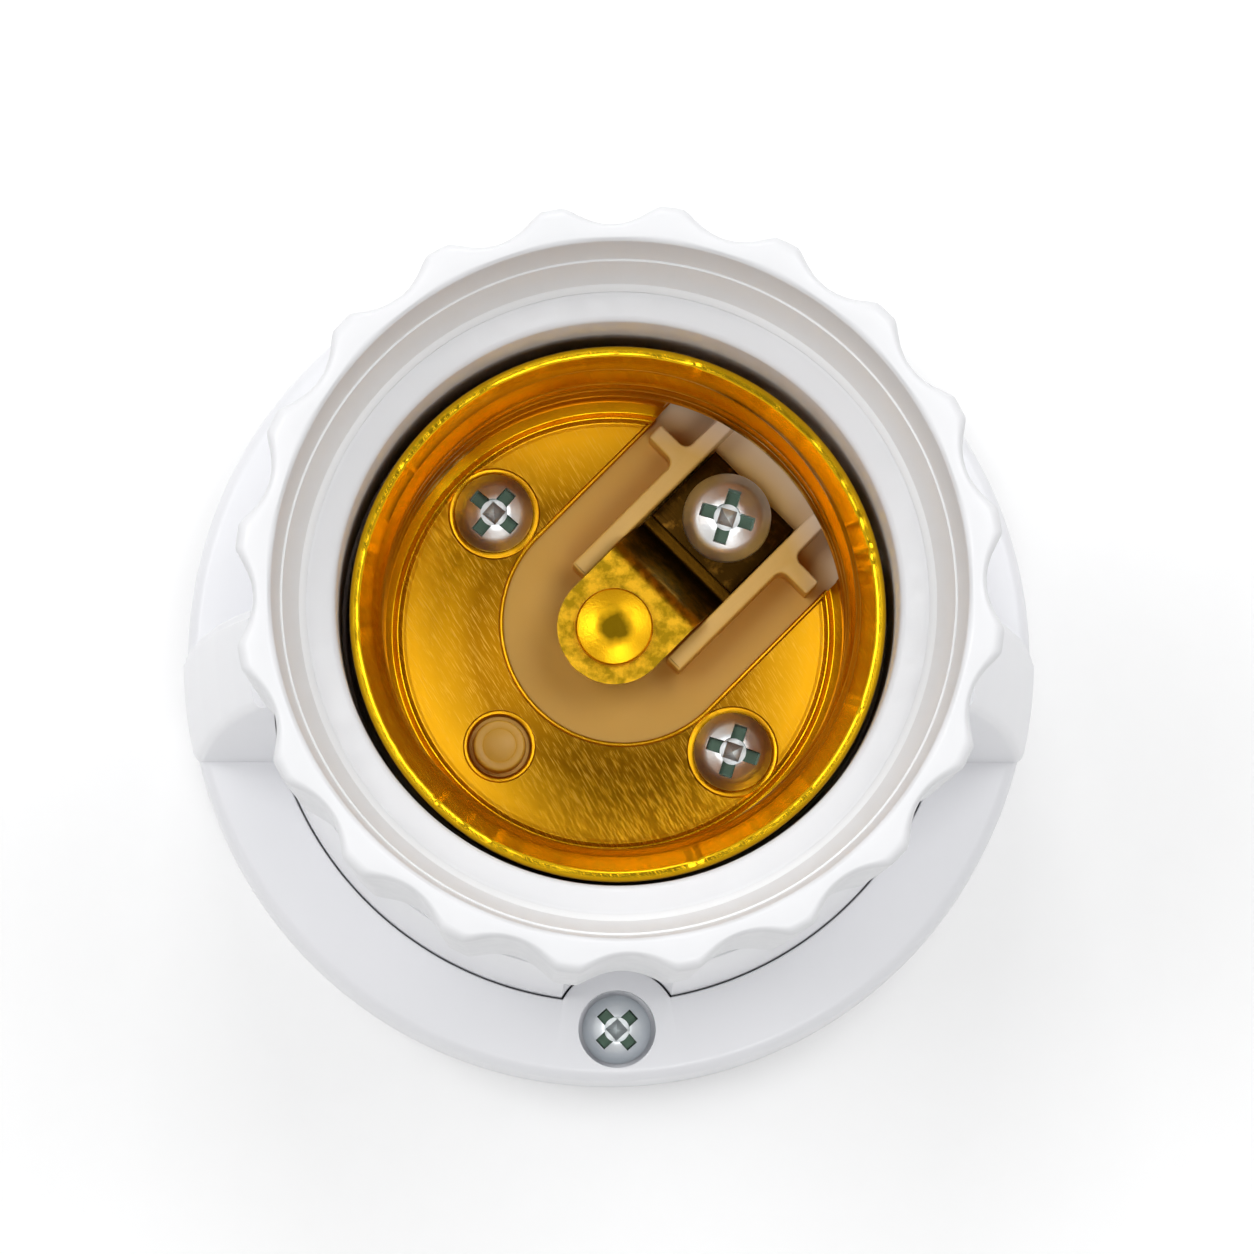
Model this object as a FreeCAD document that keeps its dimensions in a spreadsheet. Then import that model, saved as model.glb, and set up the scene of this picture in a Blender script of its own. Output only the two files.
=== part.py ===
import FreeCAD, Part
import math
import os
import Sketcher

# Surface-mounted screw lamp holder, standing on its base with the mouth up.
# Millimetres. The origin is the centre of the base's underside, +Z points out of the mouth,
# and the two cover screws lie by the Y axis. Heights are measured up from the base.

SIZES = {
    # Overall heights
    "total_height": 70.0,
    "shoulder_height": 34.0,
    "seat_height": 26.0,
    "disc_height": 33.5,
    # Back plate
    "plate_thickness": 2.5,
    "cable_hole_radius": 5.0,
    "fixing_spacing": 24.0,
    "fixing_hole_radius": 2.1,
    # Base cover
    "cover_radius": 24.2,
    "cover_height": 8.6,
    "cover_wall": 1.6,
    "cover_bevel": 0.6,
    "cover_opening_radius": 19.55,
    "lobe_radius": 3.5,
    "cover_screw_inset": 3.2,
    "cover_screw_aside": 0.46,
    "recess_radius": 2.2,
    "recess_depth": 2.2,
    # Wings on the base cover
    "wing_foot_height": 1.0,
    "wing_ring_gap": 0.6,
    "wing_top_radius": 19.8,
    "wing_low_radius": 22.9,
    "wing_low_height": 19.5,
    "wing_high_radius": 21.6,
    "wing_high_height": 27.2,
    "wing_body_gap": 0.4,
    "wing_front_foot": 5.84,
    "wing_front_top": 4.08,
    "wing_rear_foot": 0.10,
    "wing_rear_top": -1.24,
    # Holder body
    "body_top_radius": 18.4,
    "body_foot_radius": 19.63,
    "body_bore_radius": 16.8,
    "neck_radius": 16.9,
    "neck_wall": 1.2,
    "shelf_radius": 14.6,
    "shelf_thickness": 2.0,
    "flange_thickness": 1.7,
    # Fluted ring
    "ring_crest_radius": 19.4,
    "flute_depth": 0.98,
    "flute_count": 20,
    "flute_arc_radius": 2.7,
    "flute_turn": 1.25,
    "crest_round": 1.2,
    "mouth_radius": 17.5,
    "throat_radius": 17.1,
    "throat_depth": 6.0,
    "guard_depth": 11.0,
    "bead_radius": 16.0,
    "ledge_thickness": 1.8,
    # Touch guard
    "guard_flange_radius": 16.2,
    "guard_flange_thickness": 1.6,
    "guard_bore_radius": 14.5,
    "guard_wall": 0.9,
    "guard_lip_bevel": 0.45,
    # Insulator
    "insulator_radius": 15.5,
    "cup_bore_radius": 14.3,
    "cup_height": 41.0,
    "channel_start": 0.9,
    "channel_half_width": 3.13,
    "channel_wall": 0.95,
    "channel_top": 36.9,
    "branch_reach": 6.0,
    "peg_place": 8.7,
    "peg_radius": 1.4,
    "peg_rise": 1.1,
    "terminal_recess": 3.5,
    # Screw shell
    "sheet_thickness": 0.35,
    "shell_bore_radius": 13.3,
    "shell_height": 18.5,
    "rim_flare": 0.25,
    "rim_height": 1.0,
    "corner_bevel": 0.6,
    "slot_half_width": 6.6,
    "slot_end_place": 0.76,
    "window_height": 3.9,
    "peg_hole_radius": 1.9,
    "shell_screw_place": 9.13,
    # Centre contact
    "contact_turn": 45.0,
    "strip_width": 6.1,
    "strip_thickness": 0.5,
    "strip_rise": 4.65,
    "strip_flat_reach": 3.2,
    "strip_foot_place": 5.1,
    "strip_end_place": 10.7,
    "strip_bend": 0.5,
    "button_radius": 2.06,
    "button_height": 1.2,
    "button_bevel": 0.4,
    "rivet_radius": 0.8,
    # Clamp plate
    "clamp_start": 5.9,
    "clamp_length": 4.9,
    "clamp_width": 6.0,
    "clamp_thickness": 1.2,
    "clamp_screw_place": 8.65,
    # Terminals
    "terminal_side": 7.0,
    "terminal_height": 8.5,
    "wire_hole_radius": 1.5,
    "wire_hole_rise": 2.9,
    "nut_side": 5.0,
    "nut_thickness": 2.0,
    # Screws
    "shank_radius": 1.25,
    "shell_head_radius": 2.1,
    "clamp_head_radius": 2.4,
    "cover_head_radius": 1.95,
    "head_height": 1.5,
    "head_bevel": 0.25,
    "cover_screw_length": 6.0,
    "wire_screw_length": 1.9,
    "cross_arm": 1.4,
    "cross_width": 0.78,
    "cross_depth": 0.8,
    "clamp_screw_turn": 73.0,
    "shell_screw_turn": 50.0,
    "cover_screw_turn": 42.0,
    # Clearances
    "plate_gap": 0.3,
    "flange_gap": 1.2,
    "neck_gap": 0.5,
    "ring_seat_gap": 0.2,
    "ring_thread_gap": 0.3,
    "guard_side_gap": 0.15,
    "guard_seat_gap": 0.1,
    "ledge_side_gap": 0.35,
    "lobe_gap": 0.12,
    "pocket_gap": 0.15,
    "hole_gap": 0.1,
}


class Size:
    """A dimension that knows its number and the expression that gives it from the sheet."""

    def __init__(self, number, text):
        self.number = number
        self.text = text

    def join(self, other, sign, number):
        return Size(number, f"({self.text} {sign} {as_size(other).text})")

    def __add__(self, other):
        return self.join(other, "+", self.number + as_size(other).number)

    def __sub__(self, other):
        return self.join(other, "-", self.number - as_size(other).number)

    def __mul__(self, other):
        return self.join(other, "*", self.number * as_size(other).number)

    def __truediv__(self, other):
        return self.join(other, "/", self.number / as_size(other).number)

    def __rmul__(self, other):
        return as_size(other) * self

    def __rsub__(self, other):
        return as_size(other) - self

    def __neg__(self):
        return Size(-self.number, f"(0 - {self.text})")


def as_size(value):
    return value if isinstance(value, Size) else Size(value, repr(value))


class Sizes:
    """The sheet's dimensions by name."""


class Bend:
    """An arc between two corners of an outline, turning left or right on the way."""

    def __init__(self, radius, turn):
        self.radius = as_size(radius)
        self.turn = turn


doc = FreeCAD.newDocument("lamp_holder")
sheet = doc.addObject("Spreadsheet::Sheet", "Sizes")
s = Sizes()
for row, (alias, number) in enumerate(SIZES.items(), start=1):
    sheet.set(f"A{row}", alias)
    sheet.set(f"B{row}", str(number))
    sheet.setAlias(f"B{row}", alias)
    setattr(s, alias, Size(number, f"Sizes.{alias}"))
doc.recompute()

# Levels and radii that several pieces share
ring_foot = s.shoulder_height + s.ring_seat_gap
neck_bore = s.neck_radius - s.neck_wall
ring_bore = s.neck_radius + s.ring_thread_gap
guard_top = s.total_height - s.guard_depth
guard_flange_foot = guard_top - s.guard_flange_thickness
guard_outer = s.guard_bore_radius + s.guard_wall
ledge_top = guard_flange_foot - s.guard_seat_gap
ledge_foot = ledge_top - s.ledge_thickness
neck_top = ledge_foot - s.neck_gap
plate_radius = s.cover_radius - s.cover_wall - s.plate_gap
flange_radius = s.cover_radius - s.cover_wall - s.flange_gap
cover_screw_reach = s.cover_radius - s.cover_screw_inset
cover_underside = s.cover_height - s.cover_wall
floor_height = s.disc_height - s.sheet_thickness
screw_hole_radius = s.shank_radius + s.hole_gap
strip_top = floor_height + s.strip_rise + s.strip_thickness
tail_top = floor_height + s.strip_thickness
clamp_top = tail_top + s.clamp_thickness
recess_floor = s.cover_height - s.recess_depth
terminal_top = s.seat_height + s.terminal_recess
terminal_foot = terminal_top - s.terminal_height
wing_top = s.shoulder_height + s.ring_seat_gap - s.wing_ring_gap


def new_body(label):
    body = doc.addObject("PartDesign::Body", label)
    body.Label = label
    return body


def origin_item(body, role):
    return next(item for item in body.Origin.OriginFeatures if item.Role == role)


def new_sketch(body, role, height=None):
    """A sketch on one of the body's own planes, raised by a height where one is given."""
    sketch = body.newObject("Sketcher::SketchObject", f"{body.Name}_outline")
    sketch.AttachmentSupport = (origin_item(body, role), [""])
    sketch.MapMode = "FlatFace"
    if height is not None:
        sketch.setExpression("AttachmentOffset.Base.z", as_size(height).text)
    return sketch


def hold(sketch, kind, item, end, value):
    """Ties one coordinate of a point, or one radius, to the sheet."""
    value = as_size(value)
    if kind == "Radius":
        number = sketch.addConstraint(Sketcher.Constraint(kind, item, value.number))
    else:
        number = sketch.addConstraint(Sketcher.Constraint(kind, -1, 1, item, end, value.number))
    sketch.setExpression(f"Constraints[{number}]", value.text)


def arc_between(start, finish, bend):
    """The arc from start to finish; its centre is on the side that it turns to."""
    middle = (start + finish) * 0.5
    chord = finish - start
    left = FreeCAD.Vector(-chord.y, chord.x, 0).normalize()
    depth = math.sqrt(max(bend.radius.number**2 - chord.Length**2 / 4, 0.0))
    side = 1 if bend.turn == "left" else -1
    centre = middle + left * (depth * side)
    first, last = (start, finish) if side == 1 else (finish, start)
    angles = [math.atan2(p.y - centre.y, p.x - centre.x) for p in (first, last)]
    circle = Part.Circle(centre, FreeCAD.Vector(0, 0, 1), bend.radius.number)
    return Part.ArcOfCircle(circle, *angles)


def outline(sketch, *steps):
    """A closed outline through the corners in steps; a Bend between two corners makes an arc."""
    corners = [step for step in steps if not isinstance(step, Bend)]
    bends = []
    for place, step in enumerate(steps):
        if not isinstance(step, Bend):
            after = steps[(place + 1) % len(steps)]
            bends.append(after if isinstance(after, Bend) else None)
    points = [FreeCAD.Vector(as_size(x).number, as_size(y).number, 0) for x, y in corners]
    ends = []
    for place, bend in enumerate(bends):
        start, finish = points[place], points[(place + 1) % len(points)]
        if bend is None:
            item = sketch.addGeometry(Part.LineSegment(start, finish), False)
            ends.append((item, 1, 2))
        else:
            item = sketch.addGeometry(arc_between(start, finish, bend), False)
            ends.append((item, 1, 2) if bend.turn == "left" else (item, 2, 1))
    for place, (item, start, finish) in enumerate(ends):
        following = ends[(place + 1) % len(ends)]
        sketch.addConstraint(Sketcher.Constraint("Coincident", item, finish, following[0], following[1]))
        hold(sketch, "DistanceX", item, start, corners[place][0])
        hold(sketch, "DistanceY", item, start, corners[place][1])
        if bends[place] is not None:
            hold(sketch, "Radius", item, None, bends[place].radius)


def rectangle(sketch, left, low, right, high):
    outline(sketch, (left, low), (right, low), (right, high), (left, high))


def circle(sketch, x, y, radius):
    centre = FreeCAD.Vector(as_size(x).number, as_size(y).number, 0)
    item = sketch.addGeometry(Part.Circle(centre, FreeCAD.Vector(0, 0, 1), as_size(radius).number), False)
    hold(sketch, "DistanceX", item, 3, x)
    hold(sketch, "DistanceY", item, 3, y)
    hold(sketch, "Radius", item, None, radius)


def turned(body, *steps):
    """A turned form: the outline gives radius and height, and goes once round the body's own axis."""
    sketch = new_sketch(body, "XZ_Plane")
    outline(sketch, *steps)
    feature = body.newObject("PartDesign::Revolution", f"{body.Name}_turned")
    feature.Profile = sketch
    feature.ReferenceAxis = (sketch, ["V_Axis"])
    feature.Angle = 360
    return feature


def raised(body, sketch, length, symmetric=False):
    feature = body.newObject("PartDesign::Pad", f"{body.Name}_raised")
    feature.Profile = sketch
    feature.setExpression("Length", as_size(length).text)
    feature.SideType = "Symmetric" if symmetric else "One side"
    return feature


def sunk(body, sketch, depth, upwards=False):
    """A cut of a given depth, down from the sketch or up from it."""
    feature = body.newObject("PartDesign::Pocket", f"{body.Name}_cut")
    feature.Profile = sketch
    feature.setExpression("Length", as_size(depth).text)
    feature.Reversed = upwards
    return feature


def cut_through(body, sketch):
    feature = body.newObject("PartDesign::Pocket", f"{body.Name}_through")
    feature.Profile = sketch
    feature.Type = "ThroughAll"
    feature.SideType = "Symmetric"
    return feature


def round_edges(body, radius, belongs):
    """Rounds the edges of the body so far that belongs says yes to."""
    doc.recompute()
    base = body.Tip
    names = [f"Edge{n}" for n, edge in enumerate(base.Shape.Edges, start=1) if belongs(edge)]
    if not names:
        raise ValueError(f"{body.Label}: no edge to round")
    feature = body.newObject("PartDesign::Fillet", f"{body.Name}_rounded")
    feature.Base = (base, names)
    feature.setExpression("Radius", as_size(radius).text)
    return feature


def set_place(item, x=0, y=0, z=0, turn=0, flip=False):
    """Puts a piece in its place: turned about Z, upside down where flip is set."""
    axis = FreeCAD.Vector(1, 0, 0) if flip else FreeCAD.Vector(0, 0, 1)
    item.Placement = FreeCAD.Placement(FreeCAD.Vector(0, 0, 0), FreeCAD.Rotation(axis, 180 if flip else 0))
    for name, value in (("x", x), ("y", y), ("z", z)):
        item.setExpression(f"Placement.Base.{name}", as_size(value).text)
    if not flip:
        item.setExpression("Placement.Rotation.Angle", as_size(turn).text)


def at_turn(distance, turn, sideways=0):
    """The x and y of a point at a distance in the direction of a turn, and sideways of it."""
    distance, sideways = as_size(distance), as_size(sideways)
    angle = math.radians(turn.number)
    cosine = Size(math.cos(angle), f"cos({turn.text})")
    sine = Size(math.sin(angle), f"sin({turn.text})")
    return distance * cosine - sideways * sine, distance * sine + sideways * cosine


def along(distance, sideways=0):
    """The x and y of a point at a distance along the contact's direction, and sideways of it."""
    return at_turn(distance, s.contact_turn, sideways)


# The back plate that is screwed to the ceiling or wall
def back_plate():
    body = new_body("back_plate")
    disc = new_sketch(body, "XY_Plane")
    circle(disc, 0, 0, plate_radius)
    raised(body, disc, s.plate_thickness)
    holes = new_sketch(body, "XY_Plane")
    circle(holes, 0, 0, s.cable_hole_radius)
    for side in (-1, 1):
        circle(holes, s.fixing_spacing * (side / 2), 0, s.fixing_hole_radius)
        circle(holes, *cover_screw_spot(side), screw_hole_radius)
    cut_through(body, holes)
    return body


def cover_screw_spot(side):
    """The x and y of the front cover screw, side -1, or of the rear one, side 1."""
    return s.cover_screw_aside * -side, cover_screw_reach * side


# The round cover with two screw lobes and two leaning wings
def base_cover():
    body = new_body("base_cover")
    buried = s.cover_height - s.cover_wall / 2
    root = s.cover_radius - s.cover_wall * 0.75
    wing = body.newObject("PartDesign::Revolution", "wing")
    wing.Profile = wing_profile = new_sketch(body, "XZ_Plane")
    outline(
        wing_profile,
        (body_radius_at(buried) + s.wing_body_gap, buried),
        (root, buried),
        (root, s.wing_foot_height),
        (s.cover_radius, s.wing_foot_height),
        (s.cover_radius, s.cover_height),
        (s.wing_low_radius, s.wing_low_height),
        (s.wing_high_radius, s.wing_high_height),
        (s.wing_top_radius, wing_top),
        (body_radius_at(wing_top) + s.wing_body_gap, wing_top),
    )
    wing.ReferenceAxis = (wing_profile, ["V_Axis"])
    wing.Midplane = True
    wing.Angle = 50
    both = body.newObject("PartDesign::PolarPattern", "wings")
    both.Originals = [wing]
    both.Axis = (origin_item(body, "Z_Axis"), [""])
    both.Angle = 360
    both.Occurrences = 2
    body.Tip = both
    beyond = s.cover_radius * 1.5
    above = s.shoulder_height * 1.2
    flanks = new_sketch(body, "YZ_Plane")
    outline(
        flanks,
        (-s.wing_rear_foot, -s.cover_wall),
        (beyond, -s.cover_wall),
        (beyond, above),
        (-s.wing_rear_top, above),
        (-s.wing_rear_top, s.shoulder_height),
        (-s.wing_rear_foot, s.cover_height),
    )
    outline(
        flanks,
        (-s.wing_front_foot, -s.cover_wall),
        (-s.wing_front_foot, s.cover_height),
        (-s.wing_front_top, s.shoulder_height),
        (-s.wing_front_top, above),
        (-beyond, above),
        (-beyond, -s.cover_wall),
    )
    cut_through(body, flanks)
    turned(
        body,
        (s.cover_radius - s.cover_wall, 0),
        (s.cover_radius, 0),
        (s.cover_radius, s.cover_height - s.cover_bevel),
        (s.cover_radius - s.cover_bevel, s.cover_height),
        (s.cover_opening_radius, s.cover_height),
        (s.cover_opening_radius, cover_underside),
        (s.cover_radius - s.cover_wall, cover_underside),
    )
    lobes = new_sketch(body, "XY_Plane", s.plate_thickness)
    lobe_back = cover_screw_reach + s.cover_wall
    for side in (-1, 1):
        bend = Bend(s.lobe_radius, "right" if side == 1 else "left")
        middle, reach = cover_screw_spot(side)
        outline(
            lobes,
            (middle + s.lobe_radius, reach),
            bend,
            (middle, reach - s.lobe_radius * side),
            bend,
            (middle - s.lobe_radius, reach),
            (middle - s.lobe_radius, lobe_back * side),
            (middle + s.lobe_radius, lobe_back * side),
        )
    raised(body, lobes, s.cover_height - s.plate_thickness)
    recesses = new_sketch(body, "XY_Plane", s.cover_height)
    holes = new_sketch(body, "XY_Plane")
    for side in (-1, 1):
        circle(recesses, *cover_screw_spot(side), s.recess_radius)
        circle(holes, *cover_screw_spot(side), screw_hole_radius)
    sunk(body, recesses, s.recess_depth)
    cut_through(body, holes)
    return body


def body_radius_at(height):
    """The outside of the holder body tapers from its foot to its shoulder."""
    taper = (s.body_foot_radius - s.body_top_radius) / (s.shoulder_height - s.plate_thickness)
    return s.body_top_radius + taper * (s.shoulder_height - height)


# The cylindrical body that stands on the back plate and carries everything else
def holder_body():
    body = new_body("holder_body")
    flange_foot = cover_underside - s.flange_thickness
    turned(
        body,
        (s.body_bore_radius, s.plate_thickness),
        (s.body_foot_radius, s.plate_thickness),
        (body_radius_at(flange_foot), flange_foot),
        (flange_radius, flange_foot),
        (flange_radius, cover_underside),
        (body_radius_at(cover_underside), cover_underside),
        (s.body_top_radius, s.shoulder_height),
        (s.neck_radius, s.shoulder_height),
        (s.neck_radius, neck_top),
        (neck_bore, neck_top),
        (neck_bore, s.seat_height),
        (s.shelf_radius, s.seat_height),
        (s.shelf_radius, s.seat_height - s.shelf_thickness),
        (s.body_bore_radius, s.seat_height - s.shelf_thickness),
    )
    notches = new_sketch(body, "XY_Plane")
    for side in (-1, 1):
        circle(notches, *cover_screw_spot(side), s.lobe_radius + s.lobe_gap)
    sunk(body, notches, s.shoulder_height + s.lobe_gap, upwards=True)
    return body


# The fluted ring that screws on the neck of the body
def fluted_ring():
    body = new_body("fluted_ring")
    flange_bore = s.guard_flange_radius + s.guard_side_gap
    bead_foot = guard_top + s.guard_seat_gap / 2
    turned(
        body,
        (ring_bore, ring_foot),
        (s.ring_crest_radius, ring_foot),
        (s.ring_crest_radius, s.total_height),
        (s.mouth_radius, s.total_height),
        (s.throat_radius, s.total_height - s.throat_depth),
        (s.bead_radius, bead_foot),
        (flange_bore, bead_foot),
        (flange_bore, ledge_top),
        (guard_outer + s.ledge_side_gap, ledge_top),
        (guard_outer + s.ledge_side_gap, ledge_foot),
        (ring_bore, ledge_foot),
    )
    flute = new_sketch(body, "XY_Plane")
    away = s.ring_crest_radius - s.flute_depth + s.flute_arc_radius
    circle(flute, *at_turn(away, s.flute_turn), s.flute_arc_radius)
    cut = cut_through(body, flute)
    pattern = body.newObject("PartDesign::PolarPattern", "flutes")
    pattern.Originals = [cut]
    pattern.Axis = (origin_item(body, "Z_Axis"), [""])
    pattern.Angle = 360
    pattern.setExpression("Occurrences", s.flute_count.text)
    body.Tip = pattern
    round_edges(body, s.crest_round, on_crest)
    return body


def on_crest(edge):
    """One of the upright edges between a flute and the land beside it."""
    box = edge.BoundBox
    reach = math.hypot(edge.CenterOfMass.x, edge.CenterOfMass.y)
    upright = box.ZLength > s.total_height.number / 4 and box.XLength < 1e-3 and box.YLength < 1e-3
    return upright and abs(reach - s.ring_crest_radius.number) < 1e-3


# The touch guard that the ring carries in front of the live shell
def touch_guard():
    body = new_body("touch_guard")
    foot = s.cup_height + s.guard_seat_gap
    turned(
        body,
        (s.guard_bore_radius, foot),
        (guard_outer, foot),
        (guard_outer, guard_flange_foot),
        (s.guard_flange_radius, guard_flange_foot),
        (s.guard_flange_radius, guard_top),
        (s.guard_bore_radius + s.guard_lip_bevel, guard_top),
        (s.guard_bore_radius, guard_top - s.guard_lip_bevel),
    )
    return body


# The moulded insulator; its X axis is the contact's direction
def insulator():
    body = new_body("insulator")
    turned(
        body,
        (0, s.seat_height),
        (s.insulator_radius, s.seat_height),
        (s.insulator_radius, s.cup_height),
        (s.cup_bore_radius, s.cup_height),
        (s.cup_bore_radius, floor_height),
        (0, floor_height),
    )
    walls = new_sketch(body, "XY_Plane", floor_height)
    wall_end = (s.cup_bore_radius + s.insulator_radius) / 2
    branch = s.clamp_screw_place
    for side in (-1, 1):
        near = s.channel_half_width * side
        far = (s.channel_half_width + s.channel_wall) * side
        tip = s.branch_reach * side
        outline(
            walls,
            (s.channel_start, near),
            (wall_end, near),
            (wall_end, far),
            (branch + s.channel_wall, far),
            (branch + s.channel_wall, tip),
            (branch, tip),
            (branch, far),
            (s.channel_start, far),
        )
    raised(body, walls, s.channel_top - floor_height)
    peg = new_sketch(body, "XY_Plane", floor_height)
    circle(peg, -s.peg_place, 0, s.peg_radius)
    raised(body, peg, s.sheet_thickness + s.peg_rise)
    recesses = new_sketch(body, "XY_Plane", s.seat_height)
    half = s.terminal_side / 2 + s.pocket_gap
    rectangle(recesses, s.clamp_screw_place - half, -half, s.clamp_screw_place + half, half)
    rectangle(recesses, -half, -s.shell_screw_place - half, half, -s.shell_screw_place + half)
    sunk(body, recesses, s.terminal_recess, upwards=True)
    nut_recess = new_sketch(body, "XY_Plane", s.seat_height)
    nut_half = s.nut_side / 2 + s.pocket_gap
    rectangle(nut_recess, -nut_half, s.shell_screw_place - nut_half, nut_half, s.shell_screw_place + nut_half)
    sunk(body, nut_recess, s.nut_thickness, upwards=True)
    holes = new_sketch(body, "XY_Plane")
    circle(holes, s.clamp_screw_place, 0, screw_hole_radius)
    circle(holes, 0, s.shell_screw_place, screw_hole_radius)
    circle(holes, 0, -s.shell_screw_place, screw_hole_radius)
    cut_through(body, holes)
    set_place(body, turn=s.contact_turn)
    return body


# The brass screw shell: a drawn cup with a slot, a window and a flared rim
def screw_shell():
    body = new_body("screw_shell")
    wall = s.sheet_thickness
    top = s.disc_height + s.shell_height
    outside = s.shell_bore_radius + wall
    turned(
        body,
        (0, floor_height),
        (outside - s.corner_bevel, floor_height),
        (outside, floor_height + s.corner_bevel),
        (outside, top - s.rim_height),
        (outside + s.rim_flare, top),
        (s.shell_bore_radius + s.rim_flare, top),
        (s.shell_bore_radius, top - s.rim_height),
        (s.shell_bore_radius, s.disc_height),
        (0, s.disc_height),
    )
    slot = new_sketch(body, "XY_Plane", floor_height - wall)
    half = s.slot_half_width
    bend = Bend(half, "left")
    outline(
        slot,
        (s.slot_end_place, half),
        bend,
        (s.slot_end_place - half, 0),
        bend,
        (s.slot_end_place, -half),
        (s.shell_bore_radius * 1.2, -half),
        (s.shell_bore_radius * 1.2, half),
    )
    sunk(body, slot, wall * 2 + s.window_height, upwards=True)
    holes = new_sketch(body, "XY_Plane")
    circle(holes, -s.peg_place, 0, s.peg_hole_radius)
    for side in (-1, 1):
        circle(holes, 0, s.shell_screw_place * side, screw_hole_radius)
    cut_through(body, holes)
    set_place(body, turn=s.contact_turn)
    return body


# The sprung contact strip; its tail lies under the clamp plate
def centre_contact():
    body = new_body("centre_contact")
    lean = (s.strip_foot_place - s.strip_flat_reach) / s.strip_rise
    over = s.strip_thickness * lean
    slant = s.strip_thickness * 1.08
    pad_end = -s.strip_width / 2
    side = new_sketch(body, "XZ_Plane")
    outline(
        side,
        (pad_end, floor_height + s.strip_rise),
        (s.strip_flat_reach, floor_height + s.strip_rise),
        (s.strip_foot_place, floor_height),
        (s.strip_end_place, floor_height),
        (s.strip_end_place, tail_top),
        (s.strip_foot_place + slant - over, tail_top),
        (s.strip_flat_reach + slant - over, strip_top),
        (pad_end, strip_top),
    )
    raised(body, side, s.strip_width, symmetric=True)
    round_edges(body, s.strip_bend, on_strip_bend)
    corners = new_sketch(body, "XY_Plane", floor_height)
    half = s.strip_width / 2
    bend = Bend(half, "right")
    outline(
        corners,
        (0, -half),
        bend,
        (-half, 0),
        bend,
        (0, half),
        (0, half * 1.5),
        (-half * 1.5, half * 1.5),
        (-half * 1.5, -half * 1.5),
        (0, -half * 1.5),
    )
    cut_through(body, corners)
    holes = new_sketch(body, "XY_Plane")
    circle(holes, 0, 0, s.rivet_radius + s.hole_gap / 2)
    circle(holes, s.clamp_screw_place, 0, screw_hole_radius)
    cut_through(body, holes)
    set_place(body, turn=s.contact_turn)
    return body


def on_strip_bend(edge):
    """One of the four edges across the strip where it bends down and out again."""
    box = edge.BoundBox
    across = box.YLength > s.strip_width.number * 0.9
    low, high = s.strip_flat_reach.number - 0.1, s.strip_foot_place.number + s.strip_thickness.number
    return across and low < box.XMin < high + 0.1


# The domed button riveted through the strip's free end
def contact_button():
    body = new_body("contact_button")
    underside = floor_height + s.strip_rise
    tail = s.rivet_radius / 2
    turned(
        body,
        (0, underside - tail),
        (s.rivet_radius + tail, underside - tail),
        (s.rivet_radius + tail, underside),
        (s.rivet_radius, underside),
        (s.rivet_radius, strip_top),
        (s.button_radius, strip_top),
        (s.button_radius, strip_top + s.button_height - s.button_bevel),
        (s.button_radius - s.button_bevel * 2, strip_top + s.button_height),
        (0, strip_top + s.button_height),
    )
    return body


# The square plate that clamps the strip's tail
def clamp_plate():
    body = new_body("clamp_plate")
    plate = new_sketch(body, "XY_Plane", tail_top)
    half = s.clamp_width / 2
    rectangle(plate, s.clamp_start, -half, s.clamp_start + s.clamp_length, half)
    raised(body, plate, s.clamp_thickness)
    hole = new_sketch(body, "XY_Plane")
    circle(hole, s.clamp_screw_place, 0, screw_hole_radius)
    cut_through(body, hole)
    set_place(body, turn=s.contact_turn)
    return body


# A cross-recessed screw standing on the underside of its head
def cross_screw(label, head_radius, length, place, turn=0, flip=False):
    body = new_body(label)
    turned(
        body,
        (0, -length),
        (s.shank_radius, -length),
        (s.shank_radius, 0),
        (head_radius, 0),
        (head_radius, s.head_height - s.head_bevel),
        (head_radius - s.head_bevel, s.head_height),
        (0, s.head_height),
    )
    cross = new_sketch(body, "XY_Plane", s.head_height)
    arm, half = s.cross_arm, s.cross_width / 2
    outline(
        cross,
        (-arm, -half),
        (-half, -half),
        (-half, -arm),
        (half, -arm),
        (half, -half),
        (arm, -half),
        (arm, half),
        (half, half),
        (half, arm),
        (-half, arm),
        (-half, half),
        (-arm, half),
    )
    sunk(body, cross, s.cross_depth)
    set_place(body, *place, turn=turn, flip=flip)
    return body


# A square brass block that takes a contact screw from above and a wire screw from below
def wire_terminal(label, place):
    body = new_body(label)
    block = new_sketch(body, "XY_Plane", terminal_foot)
    half = s.terminal_side / 2
    rectangle(block, -half, -half, half, half)
    raised(body, block, s.terminal_height)
    bore = new_sketch(body, "XY_Plane")
    circle(bore, 0, 0, screw_hole_radius)
    cut_through(body, bore)
    wire_hole = new_sketch(body, "YZ_Plane")
    circle(wire_hole, 0, terminal_foot + s.wire_hole_rise, s.wire_hole_radius)
    cut_through(body, wire_hole)
    set_place(body, *place, turn=s.contact_turn)
    return body


# The square nut behind the shell's second screw
def shell_nut():
    body = new_body("shell_nut")
    block = new_sketch(body, "XY_Plane", s.seat_height)
    half = s.nut_side / 2
    rectangle(block, -half, -half, half, half)
    raised(body, block, s.nut_thickness)
    bore = new_sketch(body, "XY_Plane")
    circle(bore, 0, 0, screw_hole_radius)
    cut_through(body, bore)
    set_place(body, *along(0, s.shell_screw_place), 0, turn=s.contact_turn)
    return body


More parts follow.
